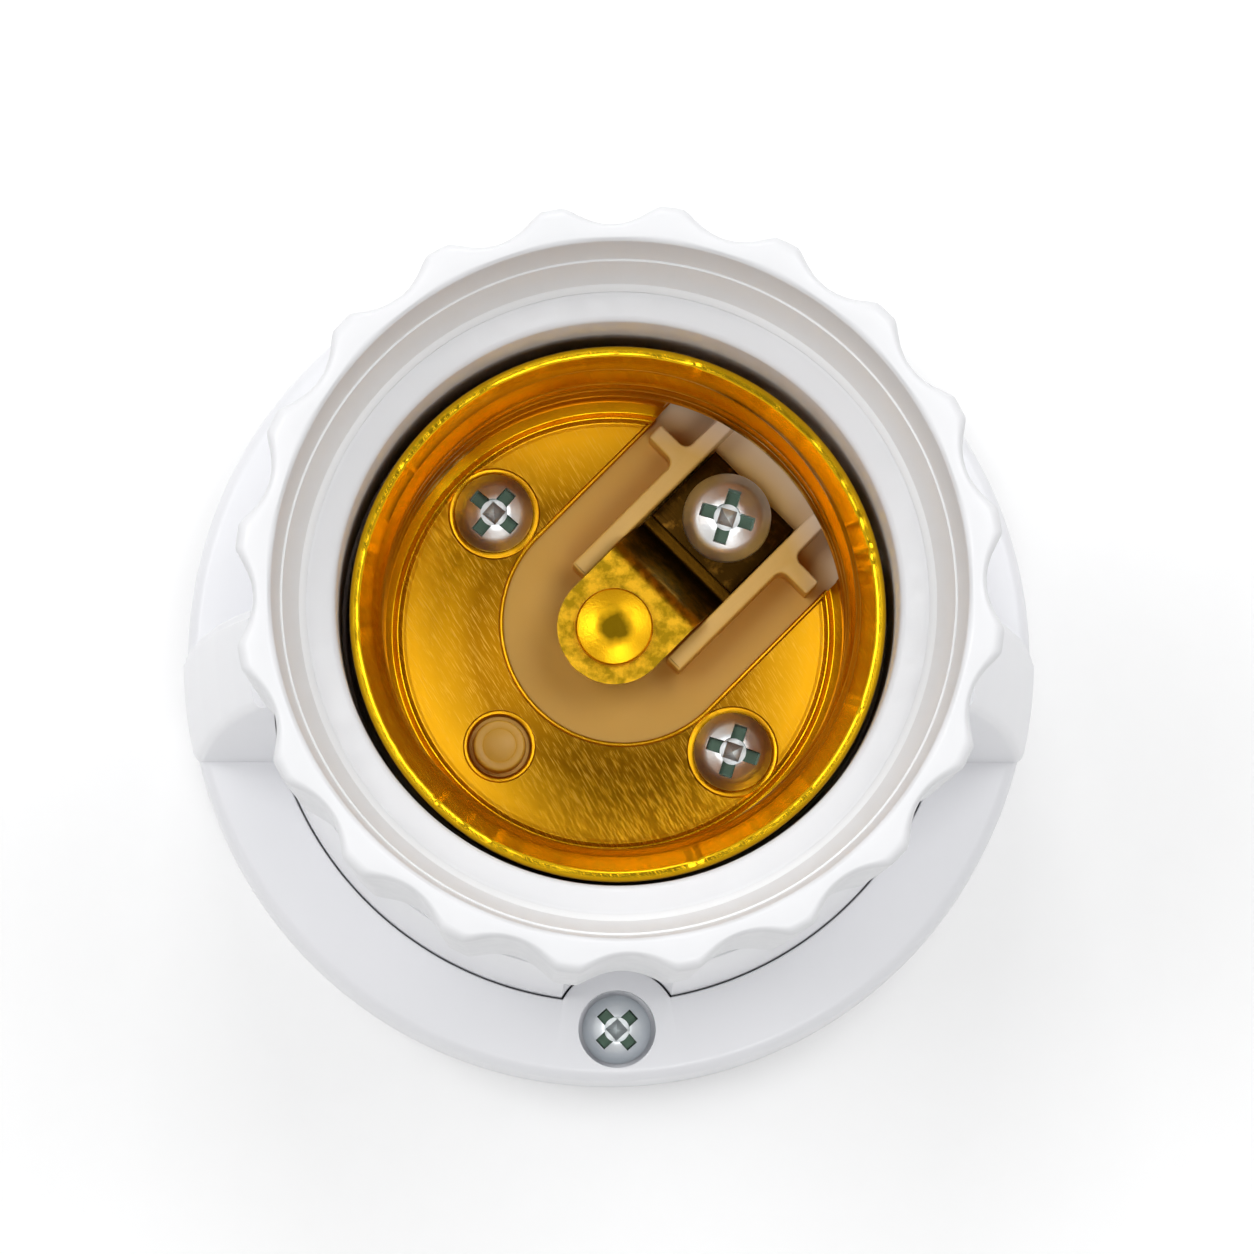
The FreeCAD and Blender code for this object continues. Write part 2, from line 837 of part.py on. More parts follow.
def build():
    """Makes every piece and returns them."""
    pieces = [
        back_plate(),
        base_cover(),
        holder_body(),
        fluted_ring(),
        touch_guard(),
        insulator(),
        screw_shell(),
        centre_contact(),
        contact_button(),
        clamp_plate(),
        shell_nut(),
    ]
    live = along(s.clamp_screw_place)
    left = along(0, s.shell_screw_place)
    right = along(0, -s.shell_screw_place)
    clamp_length = clamp_top - s.seat_height
    place = (*live, clamp_top)
    pieces.append(cross_screw("clamp_screw", s.clamp_head_radius, clamp_length, place, s.clamp_screw_turn))
    shell_length = s.disc_height - s.seat_height
    for label, spot in (("shell_screw_left", left), ("shell_screw_right", right)):
        place = (*spot, s.disc_height)
        pieces.append(cross_screw(label, s.shell_head_radius, shell_length, place, s.shell_screw_turn))
    pieces += [wire_terminal("live_terminal", (*live, 0)), wire_terminal("neutral_terminal", (*right, 0))]
    for label, spot in (("live_wire_screw", live), ("neutral_wire_screw", right)):
        place = (*spot, terminal_foot)
        pieces.append(cross_screw(label, s.shell_head_radius, s.wire_screw_length, place, flip=True))
    for label, side in (("cover_screw_front", -1), ("cover_screw_rear", 1)):
        place = (*cover_screw_spot(side), recess_floor)
        length = s.cover_screw_length
        pieces.append(cross_screw(label, s.cover_head_radius, length, place, s.cover_screw_turn))
    return pieces


def check(pieces):
    """Stops if anything in the document failed or any piece isn't one sound solid."""
    doc.recompute()
    for item in doc.Objects:
        if "Invalid" in item.State or "Error" in item.State:
            raise ValueError(f"{item.Label} failed: {item.State}")
    for piece in pieces:
        shape = piece.Shape
        if shape.isNull() or not shape.isValid() or len(shape.Solids) != 1:
            raise ValueError(f"{piece.Label} isn't one valid solid")


parts = build()
check(parts)
os.makedirs("parts", exist_ok=True)
for part in parts:
    part.Shape.exportStep(f"parts/{part.Label}.step")
    print(part.Label, round(part.Shape.Volume, 2))
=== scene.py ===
import math

import bmesh
import bpy
import numpy as np
from mathutils import Matrix, Vector, noise


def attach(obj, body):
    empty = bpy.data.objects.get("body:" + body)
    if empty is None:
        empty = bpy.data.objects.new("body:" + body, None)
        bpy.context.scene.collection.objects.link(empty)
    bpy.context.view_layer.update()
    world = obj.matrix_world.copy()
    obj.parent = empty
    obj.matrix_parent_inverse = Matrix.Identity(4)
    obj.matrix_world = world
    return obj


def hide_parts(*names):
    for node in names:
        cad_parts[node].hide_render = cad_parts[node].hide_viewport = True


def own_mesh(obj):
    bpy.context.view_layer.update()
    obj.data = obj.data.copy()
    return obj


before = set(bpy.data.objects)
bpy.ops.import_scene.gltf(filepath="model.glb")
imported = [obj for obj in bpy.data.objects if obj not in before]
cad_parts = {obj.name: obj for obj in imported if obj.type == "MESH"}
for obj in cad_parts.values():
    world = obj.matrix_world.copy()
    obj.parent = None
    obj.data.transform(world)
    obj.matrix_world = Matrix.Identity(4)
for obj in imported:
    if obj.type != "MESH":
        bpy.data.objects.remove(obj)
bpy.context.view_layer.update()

# The back plate is moulded in plain white urea and screwed to the ceiling through its two holes.
# Only its underside is ever seen. Its surface is duller than the cover's, straight from the mould.
# Sizes here and below are in millimetres, which MM turns into the scene's metres.
MM = 0.001


def linear(code):
    """An sRGB hex colour as the linear values that the nodes take."""
    parts = [int(code[at:at + 2], 16) / 255 for at in (0, 2, 4)]
    return tuple(c / 12.92 if c <= 0.04045 else ((c + 0.055) / 1.055) ** 2.4 for c in parts) + (1.0,)


def add(tree, kind, inputs=(), **settings):
    """Adds a node with its settings and links. A kind without the word Node is a shader node's.

    The inputs go by name or in order. Each is a value, an output, or a node for its first live output."""
    node = tree.nodes.new(kind if "Node" in kind else "ShaderNode" + kind)
    for name, value in settings.items():
        setattr(node, name, value)
    for key, value in inputs.items() if isinstance(inputs, dict) else enumerate(inputs):
        if isinstance(value, bpy.types.Node):
            value = next(output for output in value.outputs if output.enabled)
        if isinstance(value, bpy.types.NodeSocket):
            tree.links.new(value, node.inputs[key])
        else:
            node.inputs[key].default_value = value
    return node


def new_material(name):
    """An empty material, its node tree and the place of every shaded point in millimetres."""
    material = bpy.data.materials.new(name)
    material.use_nodes = True
    tree = material.node_tree
    tree.nodes.clear()
    place = add(tree, "TexCoord").outputs["Object"]
    return material, tree, add(tree, "VectorMath", (place, [1 / MM] * 3), operation="MULTIPLY")


def dress(piece, material):
    """Gives a piece one material; a CAD node keeps its slots and gets it in each."""
    if not piece.data.materials:
        piece.data.materials.append(material)
    for slot in piece.material_slots:
        slot.material = material


# Moulded urea straight from the mould: dull and faintly mottled, as its 5 mm flow marks show.
urea_moulded_plain, tree, mm = new_material("urea_moulded_plain")
mottle = add(tree, "TexNoise", {"Vector": mm, "Scale": 0.2, "Detail": 4.0})
tone = add(tree, "Mix", {"Factor": mottle, "A": linear("E6E5E3"), "B": linear("F0EFEE")}, data_type="RGBA")
grain = add(tree, "TexNoise", {"Vector": mm, "Scale": 4.0, "Detail": 2.0})
bump = add(tree, "Bump", {"Strength": 0.15, "Distance": 0.04 * MM, "Height": grain})
rough = add(tree, "MapRange", {"Value": mottle, "To Min": 0.45, "To Max": 0.6})
shader = add(tree, "BsdfPrincipled", {"Base Color": tone, "Roughness": rough, "Normal": bump})
add(tree, "OutputMaterial", {"Surface": shader})
dress(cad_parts["back_plate"], urea_moulded_plain)


# The round cover hides the plate. It is one moulding of glossy white plastic, with a lobe round
# each of its two screws and a wing on each side that leans in towards the fluted ring.
COVER_RADIUS = 24.2
COVER_DRAFT = 0.25
COVER_INSIDE = 22.6
COVER_TOP = 8.6
ROOF_UNDERSIDE = 7.0
OPENING_RADIUS = 19.5
SCREW_REACH = 21.0
SCREW_ASIDE = 0.46
LOBE_RADIUS = 3.5
LOBE_FOOT = 2.6
HEAD_SEAT = 6.4
HEAD_POCKET = 2.2
SCREW_HOLE = 1.35
BODY_TOP = 34.0
SHOULDER_RADIUS = 18.4
BODY_TAPER = 31.5
WING_FOOT = 1.0
WING_TOP = 33.6
WING_FRONT = -5.84
WING_REAR = 0.1
FRONT_LEAN = 1.76
REAR_LEAN = 1.14
WING_ROOT = 22.8
WING_GAP = 0.4
LEDGE_DEPTH = 0.12
LEDGE_WIDTH = 0.4
SAME_SPOT = 0.0001 * MM


def rounded(*corners, steps=6):
    """A profile's points; a corner with a third number is rounded to that radius."""
    points = []
    for place, corner in enumerate(corners):
        here = Vector(corner[:2])
        if len(corner) < 3 or not corner[2]:
            points.append(here)
            continue
        back = (Vector(corners[place - 1][:2]) - here).normalized()
        ahead = (Vector(corners[(place + 1) % len(corners)][:2]) - here).normalized()
        half = math.acos(max(-1.0, min(1.0, back.dot(ahead)))) / 2
        reach = corner[2] / math.tan(half)
        centre = here + (back + ahead).normalized() * (corner[2] / math.sin(half))
        first, last = here + back * reach - centre, here + ahead * reach - centre
        swing = first.angle_signed(last)
        for step in range(steps + 1):
            spot = first.copy()
            spot.rotate(Matrix.Rotation(-swing * step / steps, 2))
            points.append(centre + spot)
    return points


def new_piece(name, data):
    """A new object in the scene, at the origin, that shows a mesh, a lamp or a camera."""
    piece = bpy.data.objects.new(name, data)
    bpy.context.scene.collection.objects.link(piece)
    return piece


def formed(name, form):
    """Makes a piece of a closed form, its faces turned outwards."""
    bmesh.ops.recalc_face_normals(form, faces=form.faces)
    mesh = bpy.data.meshes.new(name)
    form.to_mesh(mesh)
    form.free()
    return new_piece(name, mesh)


def turned(name, profile, count=256, angles=None):
    """A closed profile of radius and height in millimetres, turned round the Z axis.

    The profile may be a function of the angle, where the form isn't round all the way."""
    angles = angles or [2 * math.pi * at / count for at in range(count)]
    form = bmesh.new()
    rings = []
    for angle in angles:
        points = profile(angle) if callable(profile) else profile
        cosine, sine = math.cos(angle), math.sin(angle)
        rings.append([form.verts.new((r * cosine * MM, r * sine * MM, z * MM)) for r, z in points])
    for ring, following in zip(rings, rings[1:] + rings[:1]):
        for at in range(len(ring)):
            form.faces.new((ring[at - 1], following[at - 1], following[at], ring[at]))
    bmesh.ops.remove_doubles(form, verts=form.verts, dist=SAME_SPOT)
    bmesh.ops.dissolve_degenerate(form, dist=SAME_SPOT / 10, edges=form.edges)
    return formed(name, form)


def settle(piece):
    """Turns a piece and its modifiers into a plain mesh."""
    graph = bpy.context.evaluated_depsgraph_get()
    mesh = bpy.data.meshes.new_from_object(piece.evaluated_get(graph))
    piece.modifiers.clear()
    piece.data = mesh


def smooth(piece):
    """Smooth shading, with the edges sharper than 32 degrees kept."""
    piece.data.shade_smooth()
    piece.data.set_sharp_from_angle(angle=math.radians(32))


def carve(piece, *cutters):
    """Cuts the cutters out of a piece and removes them."""
    for cutter in cutters:
        cut = piece.modifiers.new("cut", "BOOLEAN")
        cut.operation = "DIFFERENCE"
        cut.solver = "EXACT"
        cut.object = cutter
    settle(piece)
    for cutter in cutters:
        bpy.data.objects.remove(cutter)


def shift(piece, x, y, z, turn=0.0):
    """Turns a piece's mesh about Z by degrees, then moves it by millimetres."""
    moved = Matrix.Translation(Vector((x, y, z)) * MM)
    piece.data.transform(moved @ Matrix.Rotation(math.radians(turn), 4, "Z"))
    return piece


def drill(x, y, radius, low, high, count=64):
    """An upright rod to carve a round hole with, its place and sizes in millimetres."""
    return shift(turned("drill", rounded((0, low), (radius, low), (radius, high), (0, high)), count), x, y, 0)


def join(piece, *others):
    """Adds other pieces' meshes to a piece's own."""
    form = bmesh.new()
    for item in (piece, *others):
        form.from_mesh(item.data)
    form.to_mesh(piece.data)
    form.free()
    for item in others:
        bpy.data.objects.remove(item)


def hand_over(piece, material, body, slot, *nodes):
    """Dresses a finished piece and gives it its body and the nodes that it stands for; the slot is not used.
    """
    dress(piece, material)
    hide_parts(*nodes)
    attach(piece, body)


def lobed_radius(angle, round_radius, lobe_radius):
    """The radius of a round edge that steps inwards round the two cover screws."""
    angle -= SCREW_ASIDE / SCREW_REACH
    off = abs(math.atan2(math.cos(angle), abs(math.sin(angle))))
    reach = lobe_radius**2 - (SCREW_REACH * math.sin(off)) ** 2
    if reach <= 0:
        return round_radius
    return min(round_radius, SCREW_REACH * math.cos(off) - math.sqrt(reach))


def lobed_angles(lobe_radius):
    """Angles all the way round, close together where the edge steps inwards."""
    limit = math.asin(lobe_radius / SCREW_REACH)
    near = [limit * math.sin(math.pi / 2 * step / 40) for step in range(41)]
    quarter = near + [limit + (math.pi / 2 - limit) * step / 60 for step in range(1, 60)]
    angles = []
    for way in (math.pi / 2, -math.pi / 2):
        lobe = way + SCREW_ASIDE / SCREW_REACH
        angles += [lobe + off for off in quarter + [math.pi / 2]]
        angles += [lobe - off for off in quarter[1:]]
    return sorted(set(round(angle % (2 * math.pi), 9) for angle in angles))


def cover_profile(angle):
    """The cover's section; the lobes round its screws reach further down than its roof."""
    inner = lobed_radius(angle, OPENING_RADIUS, LOBE_RADIUS)
    foot = ROOF_UNDERSIDE if inner > OPENING_RADIUS - 0.02 else LOBE_FOOT
    return rounded((inner, foot), (inner, COVER_TOP, 0.12), (COVER_RADIUS - COVER_DRAFT, COVER_TOP, 0.7),
                   (COVER_RADIUS, 0.0, 0.15), (COVER_INSIDE, 0.0), (COVER_INSIDE, foot))


cover = turned("base_cover_moulding", cover_profile, angles=lobed_angles(LOBE_RADIUS))
places = [(-side * SCREW_ASIDE, side * SCREW_REACH) for side in (-1, 1)]
carve(cover, *[drill(x, y, HEAD_POCKET, HEAD_SEAT, COVER_TOP + 0.4) for x, y in places],
      *[drill(x, y, SCREW_HOLE, 1.0, HEAD_SEAT + 0.6, 48) for x, y in places])


def wing_radius(height):
    """The wing's outer face bulges a little on its way up to the ring."""
    levels = [1.0, 8.6, 14.0, 19.5, 26.1, 30.5, 33.6]
    radii = [24.2, 24.2, 23.62, 22.95, 21.8, 20.75, 19.8]
    return float(np.interp(height, levels, radii))


def on_arc(radius, y):
    """The point of a circle round the Z axis that lies y along the Y axis."""
    return Vector((math.sqrt(radius**2 - y * y), y))


def wing(side):
    """One wing as a stack of cross-sections, its outer edges rounded and a low ledge along its rear."""
    form = bmesh.new()
    rows = []
    for height in np.linspace(WING_FOOT, WING_TOP, 66):
        rise = max(0.0, (height - COVER_TOP) / (BODY_TOP - COVER_TOP))
        front = WING_FRONT + FRONT_LEAN * rise
        rear = WING_REAR + REAR_LEAN * rise
        outer = wing_radius(height)
        body_radius = SHOULDER_RADIUS + (BODY_TOP - height) / BODY_TAPER
        inner = WING_ROOT if height < ROOF_UNDERSIDE + 0.8 else body_radius + WING_GAP
        section = [on_arc(inner, y) for y in np.linspace(rear, front, 9)]
        face = [on_arc(outer, y) for y in np.linspace(front, rear, 25)]
        corner = rounded(section[-1], (*face[0], 0.6), face[4], steps=8)[1:-1]
        ledge = [on_arc(outer, rear - LEDGE_WIDTH - 0.05), on_arc(outer - LEDGE_DEPTH, rear - LEDGE_WIDTH),
                 on_arc(outer - LEDGE_DEPTH, rear)]
        far = rounded(face[-6], (*ledge[0], 0.05), (*ledge[1], 0.05), (*ledge[2], 0.12), section[0],
                      steps=4)[1:-1]
        middle = [spot for spot in face if corner[-1].y + 0.02 < spot.y < far[0].y - 0.02]
        middle = [middle[round(at * (len(middle) - 1) / 15)] for at in range(16)]
        outline = section + corner + middle + far
        rows.append([form.verts.new((side * spot.x * MM, spot.y * MM, height * MM)) for spot in outline])
    for low, high in zip(rows, rows[1:]):
        for at in range(len(low)):
            form.faces.new((low[at - 1], low[at], high[at], high[at - 1]))
    form.faces.new(rows[0])
    form.faces.new(rows[-1])
    bmesh.ops.remove_doubles(form, verts=form.verts, dist=SAME_SPOT)
    return formed("wing", form)


join(cover, wing(-1), wing(1))
smooth(cover)

# Moulded ABS from a polished tool: nearly white with a cool cast, glossy under soft light, a little
# uneven over 10 mm as thick mouldings are, with short light rubs from handling.
abs_moulded_gloss, tree, mm = new_material("abs_moulded_gloss")
sink = add(tree, "TexNoise", {"Vector": mm, "Scale": 0.1, "Detail": 3.0})
tone = add(tree, "Mix", {"Factor": sink, "A": linear("EFF0F3"), "B": linear("F5F5F8")}, data_type="RGBA")
rub_at = add(tree, "Mapping", {"Vector": mm, "Scale": (1.0, 1.0, 0.12), "Rotation": (0.5, 0.3, 0.2)})
rub = add(tree, "TexNoise", {"Vector": rub_at, "Scale": 1.6, "Detail": 6.0, "Roughness": 0.7})
rubbed = add(tree, "MapRange", {"Value": rub, "From Min": 0.62, "From Max": 0.75})
rough = add(tree, "MapRange", {"Value": rubbed, "To Min": 0.3, "To Max": 0.5})
skin = add(tree, "TexNoise", {"Vector": mm, "Scale": 0.8, "Detail": 2.0})
bump = add(tree, "Bump", {"Strength": 0.2, "Distance": 0.03 * MM, "Height": skin})
shader = add(tree, "BsdfPrincipled", {"Base Color": tone, "Roughness": rough, "Normal": bump})
add(tree, "OutputMaterial", {"Surface": shader})
hand_over(cover, abs_moulded_gloss, "holder", "white_plastic", "base_cover")


# The body stands on the plate, inside the cover's opening. It is a plain white tube with a flange
# under the cover and a neck with a coarse moulded thread, on which the ring turns.
BODY_FOOT = 2.5
LOBE_GAP = 0.1
FLANGE_LOW = 5.3
FLANGE_TOP = 7.0
NECK_RADIUS = 16.9
NECK_TOP = 55.0
NECK_BORE = 15.7
SHELF_TOP = 26.0
SHELF_LOW = 24.0
SHELF_BORE = 14.6
FOOT_BORE = 16.8
THREAD_LEAD = 3.0
THREAD_SWING = 0.2
THREAD_START = 0.6
NECK_ROWS = 70


def node_group(name, **sockets):
    """A Geometry Nodes tree with a geometry in and out and the named inputs given."""
    tree = bpy.data.node_groups.new(name, "GeometryNodeTree")
    tree.interface.new_socket("Geometry", in_out="OUTPUT", socket_type="NodeSocketGeometry")
    tree.interface.new_socket("Geometry", in_out="INPUT", socket_type="NodeSocketGeometry")
    for label, kind in sockets.items():
        tree.interface.new_socket(label.replace("_", " "), in_out="INPUT", socket_type="NodeSocket" + kind)
    return tree, tree.nodes.new("NodeGroupInput").outputs


def end_group(tree, geometry, finish):
    """Ends a tree as the export needs it, with nothing instanced and the finish set."""
    plain = add(tree, "GeometryNodeRealizeInstances", {"Geometry": geometry})
    dressed = add(tree, "GeometryNodeSetMaterial", {"Geometry": plain, "Material": finish})
    add(tree, "NodeGroupOutput", {"Geometry": dressed})


def apply_group(piece, tree, **values):
    """Runs a tree on a piece with its named inputs and keeps the result as a plain mesh."""
    modifier = piece.modifiers.new(tree.name, "NODES")
    modifier.node_group = tree
    names = {item.name: item.identifier for item in tree.interface.items_tree if item.in_out == "INPUT"}
    for label, value in values.items():
        modifier[names[label.replace("_", " ")]] = value
    settle(piece)


def reach_out(tree, axes):
    """How far each point lies from the Z axis."""
    squares = [add(tree, "Math", (axis, axis), operation="MULTIPLY") for axis in axes[:2]]
    total = add(tree, "Math", squares, operation="ADD")
    return add(tree, "Math", [total], operation="SQRT")


def push_out(tree, given, axes, share):
    """Ends a tree that moves each point away from the Z axis, to a share of its own reach."""
    grown = [add(tree, "Math", (axis, share), operation="MULTIPLY") for axis in axes[:2]]
    place = add(tree, "CombineXYZ", (*grown, axes[2]))
    moved = add(tree, "GeometryNodeSetPosition", {"Geometry": given["Geometry"], "Position": place})
    end_group(tree, moved, given["Finish"])


# Puts a round thread on an upright wall: a wave that climbs one pitch a turn and fades at its ends.
round_thread, given = node_group("round_thread", Pitch="Float", Swing="Float", Foot="Float", Head="Float",
                                 Least_Radius="Float", Most_Radius="Float", Finish="Material")
place = add(round_thread, "GeometryNodeInputPosition")
axes = list(add(round_thread, "SeparateXYZ", [place]).outputs)
reach = reach_out(round_thread, axes)
turn = add(round_thread, "Math", (axes[1], axes[0]), operation="ARCTAN2")
above = add(round_thread, "Math", (axes[2], given["Foot"]), operation="SUBTRACT")
below = add(round_thread, "Math", (given["Head"], axes[2]), operation="SUBTRACT")
rise = add(round_thread, "Math", (above, given["Pitch"]), operation="DIVIDE")
fall = add(round_thread, "Math", (below, given["Pitch"]), operation="DIVIDE")
nearer = add(round_thread, "Math", (rise, fall), operation="MINIMUM")
doubled = add(round_thread, "Math", (nearer, 2.0), operation="MULTIPLY")
fade = add(round_thread, "MapRange", {"Value": doubled}, interpolation_type="SMOOTHSTEP")
climb = add(round_thread, "Math", (rise, 2 * math.pi), operation="MULTIPLY")
phase = add(round_thread, "Math", (climb, turn), operation="SUBTRACT")
wave = add(round_thread, "Math", [phase], operation="COSINE")
beyond = add(round_thread, "Math", (reach, given["Least Radius"]), operation="GREATER_THAN")
within = add(round_thread, "Math", (reach, given["Most Radius"]), operation="LESS_THAN")
on_wall = add(round_thread, "Math", (beyond, within), operation="MULTIPLY")
swung = add(round_thread, "Math", (wave, given["Swing"]), operation="MULTIPLY")
kept = add(round_thread, "Math", (fade, on_wall), operation="MULTIPLY")
change = add(round_thread, "Math", (swung, kept), operation="MULTIPLY")
added = add(round_thread, "Math", (change, reach), operation="DIVIDE")
push_out(round_thread, given, axes, add(round_thread, "Math", (1.0, added), operation="ADD"))


def body_profile(angle):
    """The body's section; its foot, flange and wall step inwards round the cover's lobes."""
    foot, waist, flange, root, shoulder = [
        lobed_radius(angle, limit, LOBE_RADIUS + LOBE_GAP) for limit in (19.6, 19.5, 21.4, 19.46, 18.42)]
    neck = np.linspace(BODY_TOP + THREAD_START, NECK_TOP - THREAD_START, NECK_ROWS)
    return rounded((FOOT_BORE, BODY_FOOT), (foot, BODY_FOOT), (waist, FLANGE_LOW), (flange, FLANGE_LOW),
                   (flange, FLANGE_TOP), (root, FLANGE_TOP), (shoulder, BODY_TOP, 0.06),
                   (NECK_RADIUS, BODY_TOP), *[(NECK_RADIUS, z) for z in neck], (NECK_RADIUS, NECK_TOP, 0.2),
                   (NECK_BORE, NECK_TOP), (NECK_BORE, SHELF_TOP), (SHELF_BORE, SHELF_TOP),
                   (SHELF_BORE, SHELF_LOW), (FOOT_BORE, SHELF_LOW), steps=3)


body = turned("holder_body_moulding", body_profile, angles=lobed_angles(LOBE_RADIUS + LOBE_GAP))
apply_group(body, round_thread, Pitch=THREAD_LEAD * MM, Swing=THREAD_SWING * MM,
            Foot=(BODY_TOP + THREAD_START) * MM, Head=(NECK_TOP - THREAD_START) * MM,
            Least_Radius=(NECK_RADIUS - 0.1) * MM, Most_Radius=(NECK_RADIUS + 0.1) * MM,
            Finish=abs_moulded_gloss)
smooth(body)
hand_over(body, abs_moulded_gloss, "holder", "white_plastic", "holder_body")


# The fluted ring, moulded in the same white plastic, screws on the body's neck and carries the
# touch guard on its ledge. Its twenty flutes give the fingers a grip.
CREST_RADIUS = 19.4
VALLEY_RADIUS = 18.42
FLUTE_TOOL = 2.7
CREST_ROUND = 1.7
RING_FOOT = 34.35
RING_TOP = 70.0
RING_BORE = 17.2
RING_MOUTH = 17.5
STEP_HEIGHT = 64.0
LEDGE_BORE = 15.75
LEDGE_LOW = 55.5
LEDGE_TOP = 57.3
SEAT_RADIUS = 16.35
BEAD_RADIUS = 16.0
BEAD_LOW = 59.05

# Moves the outside of a turned wall in to the flutes, each an arc cut by a round tool.
flutes, given = node_group("flutes", Flute_Count="Int", Crest_Radius="Float", Valley_Radius="Float",
                           Tool_Radius="Float", Crest_Round="Float", Inner_Radius="Float",
                           Flute_Turn="Float", Finish="Material")
place = add(flutes, "GeometryNodeInputPosition")
axes = list(add(flutes, "SeparateXYZ", [place]).outputs)
reach = reach_out(flutes, axes)
way = add(flutes, "Math", (axes[1], axes[0]), operation="ARCTAN2")
turn = add(flutes, "Math", (way, given["Flute Turn"]), operation="SUBTRACT")
half_step = add(flutes, "Math", (math.pi, given["Flute Count"]), operation="DIVIDE")
off = add(flutes, "Math", (turn, half_step), operation="PINGPONG")
tool_reach = add(flutes, "Math", (given["Valley Radius"], given["Tool Radius"]), operation="ADD")
sine = add(flutes, "Math", [off], operation="SINE")
across = add(flutes, "Math", (tool_reach, sine), operation="MULTIPLY")
tool_square = add(flutes, "Math", [given["Tool Radius"]] * 2, operation="MULTIPLY")
across_square = add(flutes, "Math", (across, across), operation="MULTIPLY")
depth = add(flutes, "Math", (tool_square, across_square), operation="SUBTRACT")
cosine = add(flutes, "Math", [off], operation="COSINE")
along = add(flutes, "Math", (tool_reach, cosine), operation="MULTIPLY")
deep = add(flutes, "Math", (depth, 0.0), operation="MAXIMUM")
cut = add(flutes, "Math", [deep], operation="SQRT")
arc = add(flutes, "Math", (along, cut), operation="SUBTRACT")
wall = add(flutes, "Math", (arc, given["Crest Radius"], given["Crest Round"]), operation="SMOOTH_MIN")
drop = add(flutes, "Math", (given["Crest Radius"], wall), operation="SUBTRACT")
share = add(flutes, "MapRange", {
    "Value": reach, "From Min": given["Inner Radius"], "From Max": given["Crest Radius"]})
taken = add(flutes, "Math", (drop, share), operation="MULTIPLY")
lost = add(flutes, "Math", (taken, reach), operation="DIVIDE")
push_out(flutes, given, axes, add(flutes, "Math", (1.0, lost), operation="SUBTRACT"))

ring = turned("fluted_ring_moulding", rounded(
    (RING_BORE, RING_FOOT, 0.2), (CREST_RADIUS - 0.2, RING_FOOT, 0.15), (CREST_RADIUS, RING_TOP, 0.6),
    (RING_MOUTH, RING_TOP, 0.4), (RING_BORE, STEP_HEIGHT, 0.1), (RING_BORE - 0.12, STEP_HEIGHT, 0.05),
    (SEAT_RADIUS, BEAD_LOW + 0.55), (BEAD_RADIUS, BEAD_LOW + 0.25), (BEAD_RADIUS, BEAD_LOW),
    (SEAT_RADIUS, BEAD_LOW), (SEAT_RADIUS, LEDGE_TOP), (LEDGE_BORE, LEDGE_TOP), (LEDGE_BORE, LEDGE_LOW),
    (RING_BORE, LEDGE_LOW)), count=720)

# The same ABS, a little greyer and duller than the cover; the grey is painted shade. Inside its mouth the
# wall between the bead and the bore is painted lighter, which is painted light. Fine rubs of 1 to 2 mm run
# round the ring.
abs_grip_satin, tree, mm = new_material("abs_grip_satin")
sink = add(tree, "TexNoise", {"Vector": mm, "Scale": 0.12, "Detail": 3.0})
greyer_painted_shade = add(tree, "Mix", {"Factor": sink, "A": linear("E3E4E6"), "B": linear("EAEAEC")}, data_type="RGBA")
flat = add(tree, "VectorMath", (mm, (1.0, 1.0, 0.0)), operation="MULTIPLY")
reach = add(tree, "VectorMath", [flat], operation="LENGTH")
beyond_mouth_wall = add(tree, "MapRange", {"Value": reach, "From Min": RING_BORE, "From Max": RING_BORE + 0.4})
inside_bead = add(tree, "MapRange", {
    "Value": reach, "From Min": BEAD_RADIUS - 0.2, "From Max": BEAD_RADIUS + 0.2, "To Min": 1.0,
    "To Max": 0.0})
wear_and_painted_shade = add(tree, "Math", (beyond_mouth_wall, inside_bead), operation="MAXIMUM")
# Painted light on the mouth's inner wall. Everywhere else the greyer tone is painted shade.
tone = add(tree, "Mix", {"Factor": wear_and_painted_shade, "A": linear("F6F7F8"), "B": greyer_painted_shade}, data_type="RGBA")
rub_at = add(tree, "Mapping", {"Vector": mm, "Scale": (1.0, 1.0, 0.2)})
rub = add(tree, "TexNoise", {"Vector": rub_at, "Scale": 0.9, "Detail": 6.0, "Roughness": 0.7})
rough = add(tree, "MapRange", {"Value": rub, "From Min": 0.4, "From Max": 0.7, "To Min": 0.3, "To Max": 0.48})
bump = add(tree, "Bump", {"Strength": 0.2, "Distance": 0.03 * MM, "Height": rub})
shader = add(tree, "BsdfPrincipled", {"Base Color": tone, "Roughness": rough, "Normal": bump})
add(tree, "OutputMaterial", {"Surface": shader})
apply_group(ring, flutes, Flute_Count=20, Crest_Radius=CREST_RADIUS * MM, Valley_Radius=VALLEY_RADIUS * MM,
            Tool_Radius=FLUTE_TOOL * MM, Crest_Round=CREST_ROUND * MM, Inner_Radius=(RING_BORE + 0.4) * MM,
            Flute_Turn=math.radians(1.25), Finish=abs_grip_satin)
smooth(ring)
hand_over(ring, abs_grip_satin, "ring", "white_plastic", "fluted_ring")


# The touch guard is a flanged sleeve of the same plastic. It keeps fingers off the live shell and
# rests on the ring's ledge, where a thin bead snaps over its flange.
GUARD_BORE = 14.5
SLEEVE_RADIUS = 15.4
SLEEVE_FOOT = 41.1
GUARD_RADIUS = 16.2
GUARD_TOP = 59.0

guard = turned("touch_guard_moulding", rounded(
    (GUARD_BORE, SLEEVE_FOOT, 0.1), (SLEEVE_RADIUS, SLEEVE_FOOT, 0.1), (SLEEVE_RADIUS, LEDGE_TOP + 0.1),
    (GUARD_RADIUS, LEDGE_TOP + 0.1), (GUARD_RADIUS, GUARD_TOP, 0.1), (GUARD_BORE, GUARD_TOP - 0.4, 0.45)))
smooth(guard)
hand_over(guard, abs_grip_satin, "guard", "white_plastic", "touch_guard")


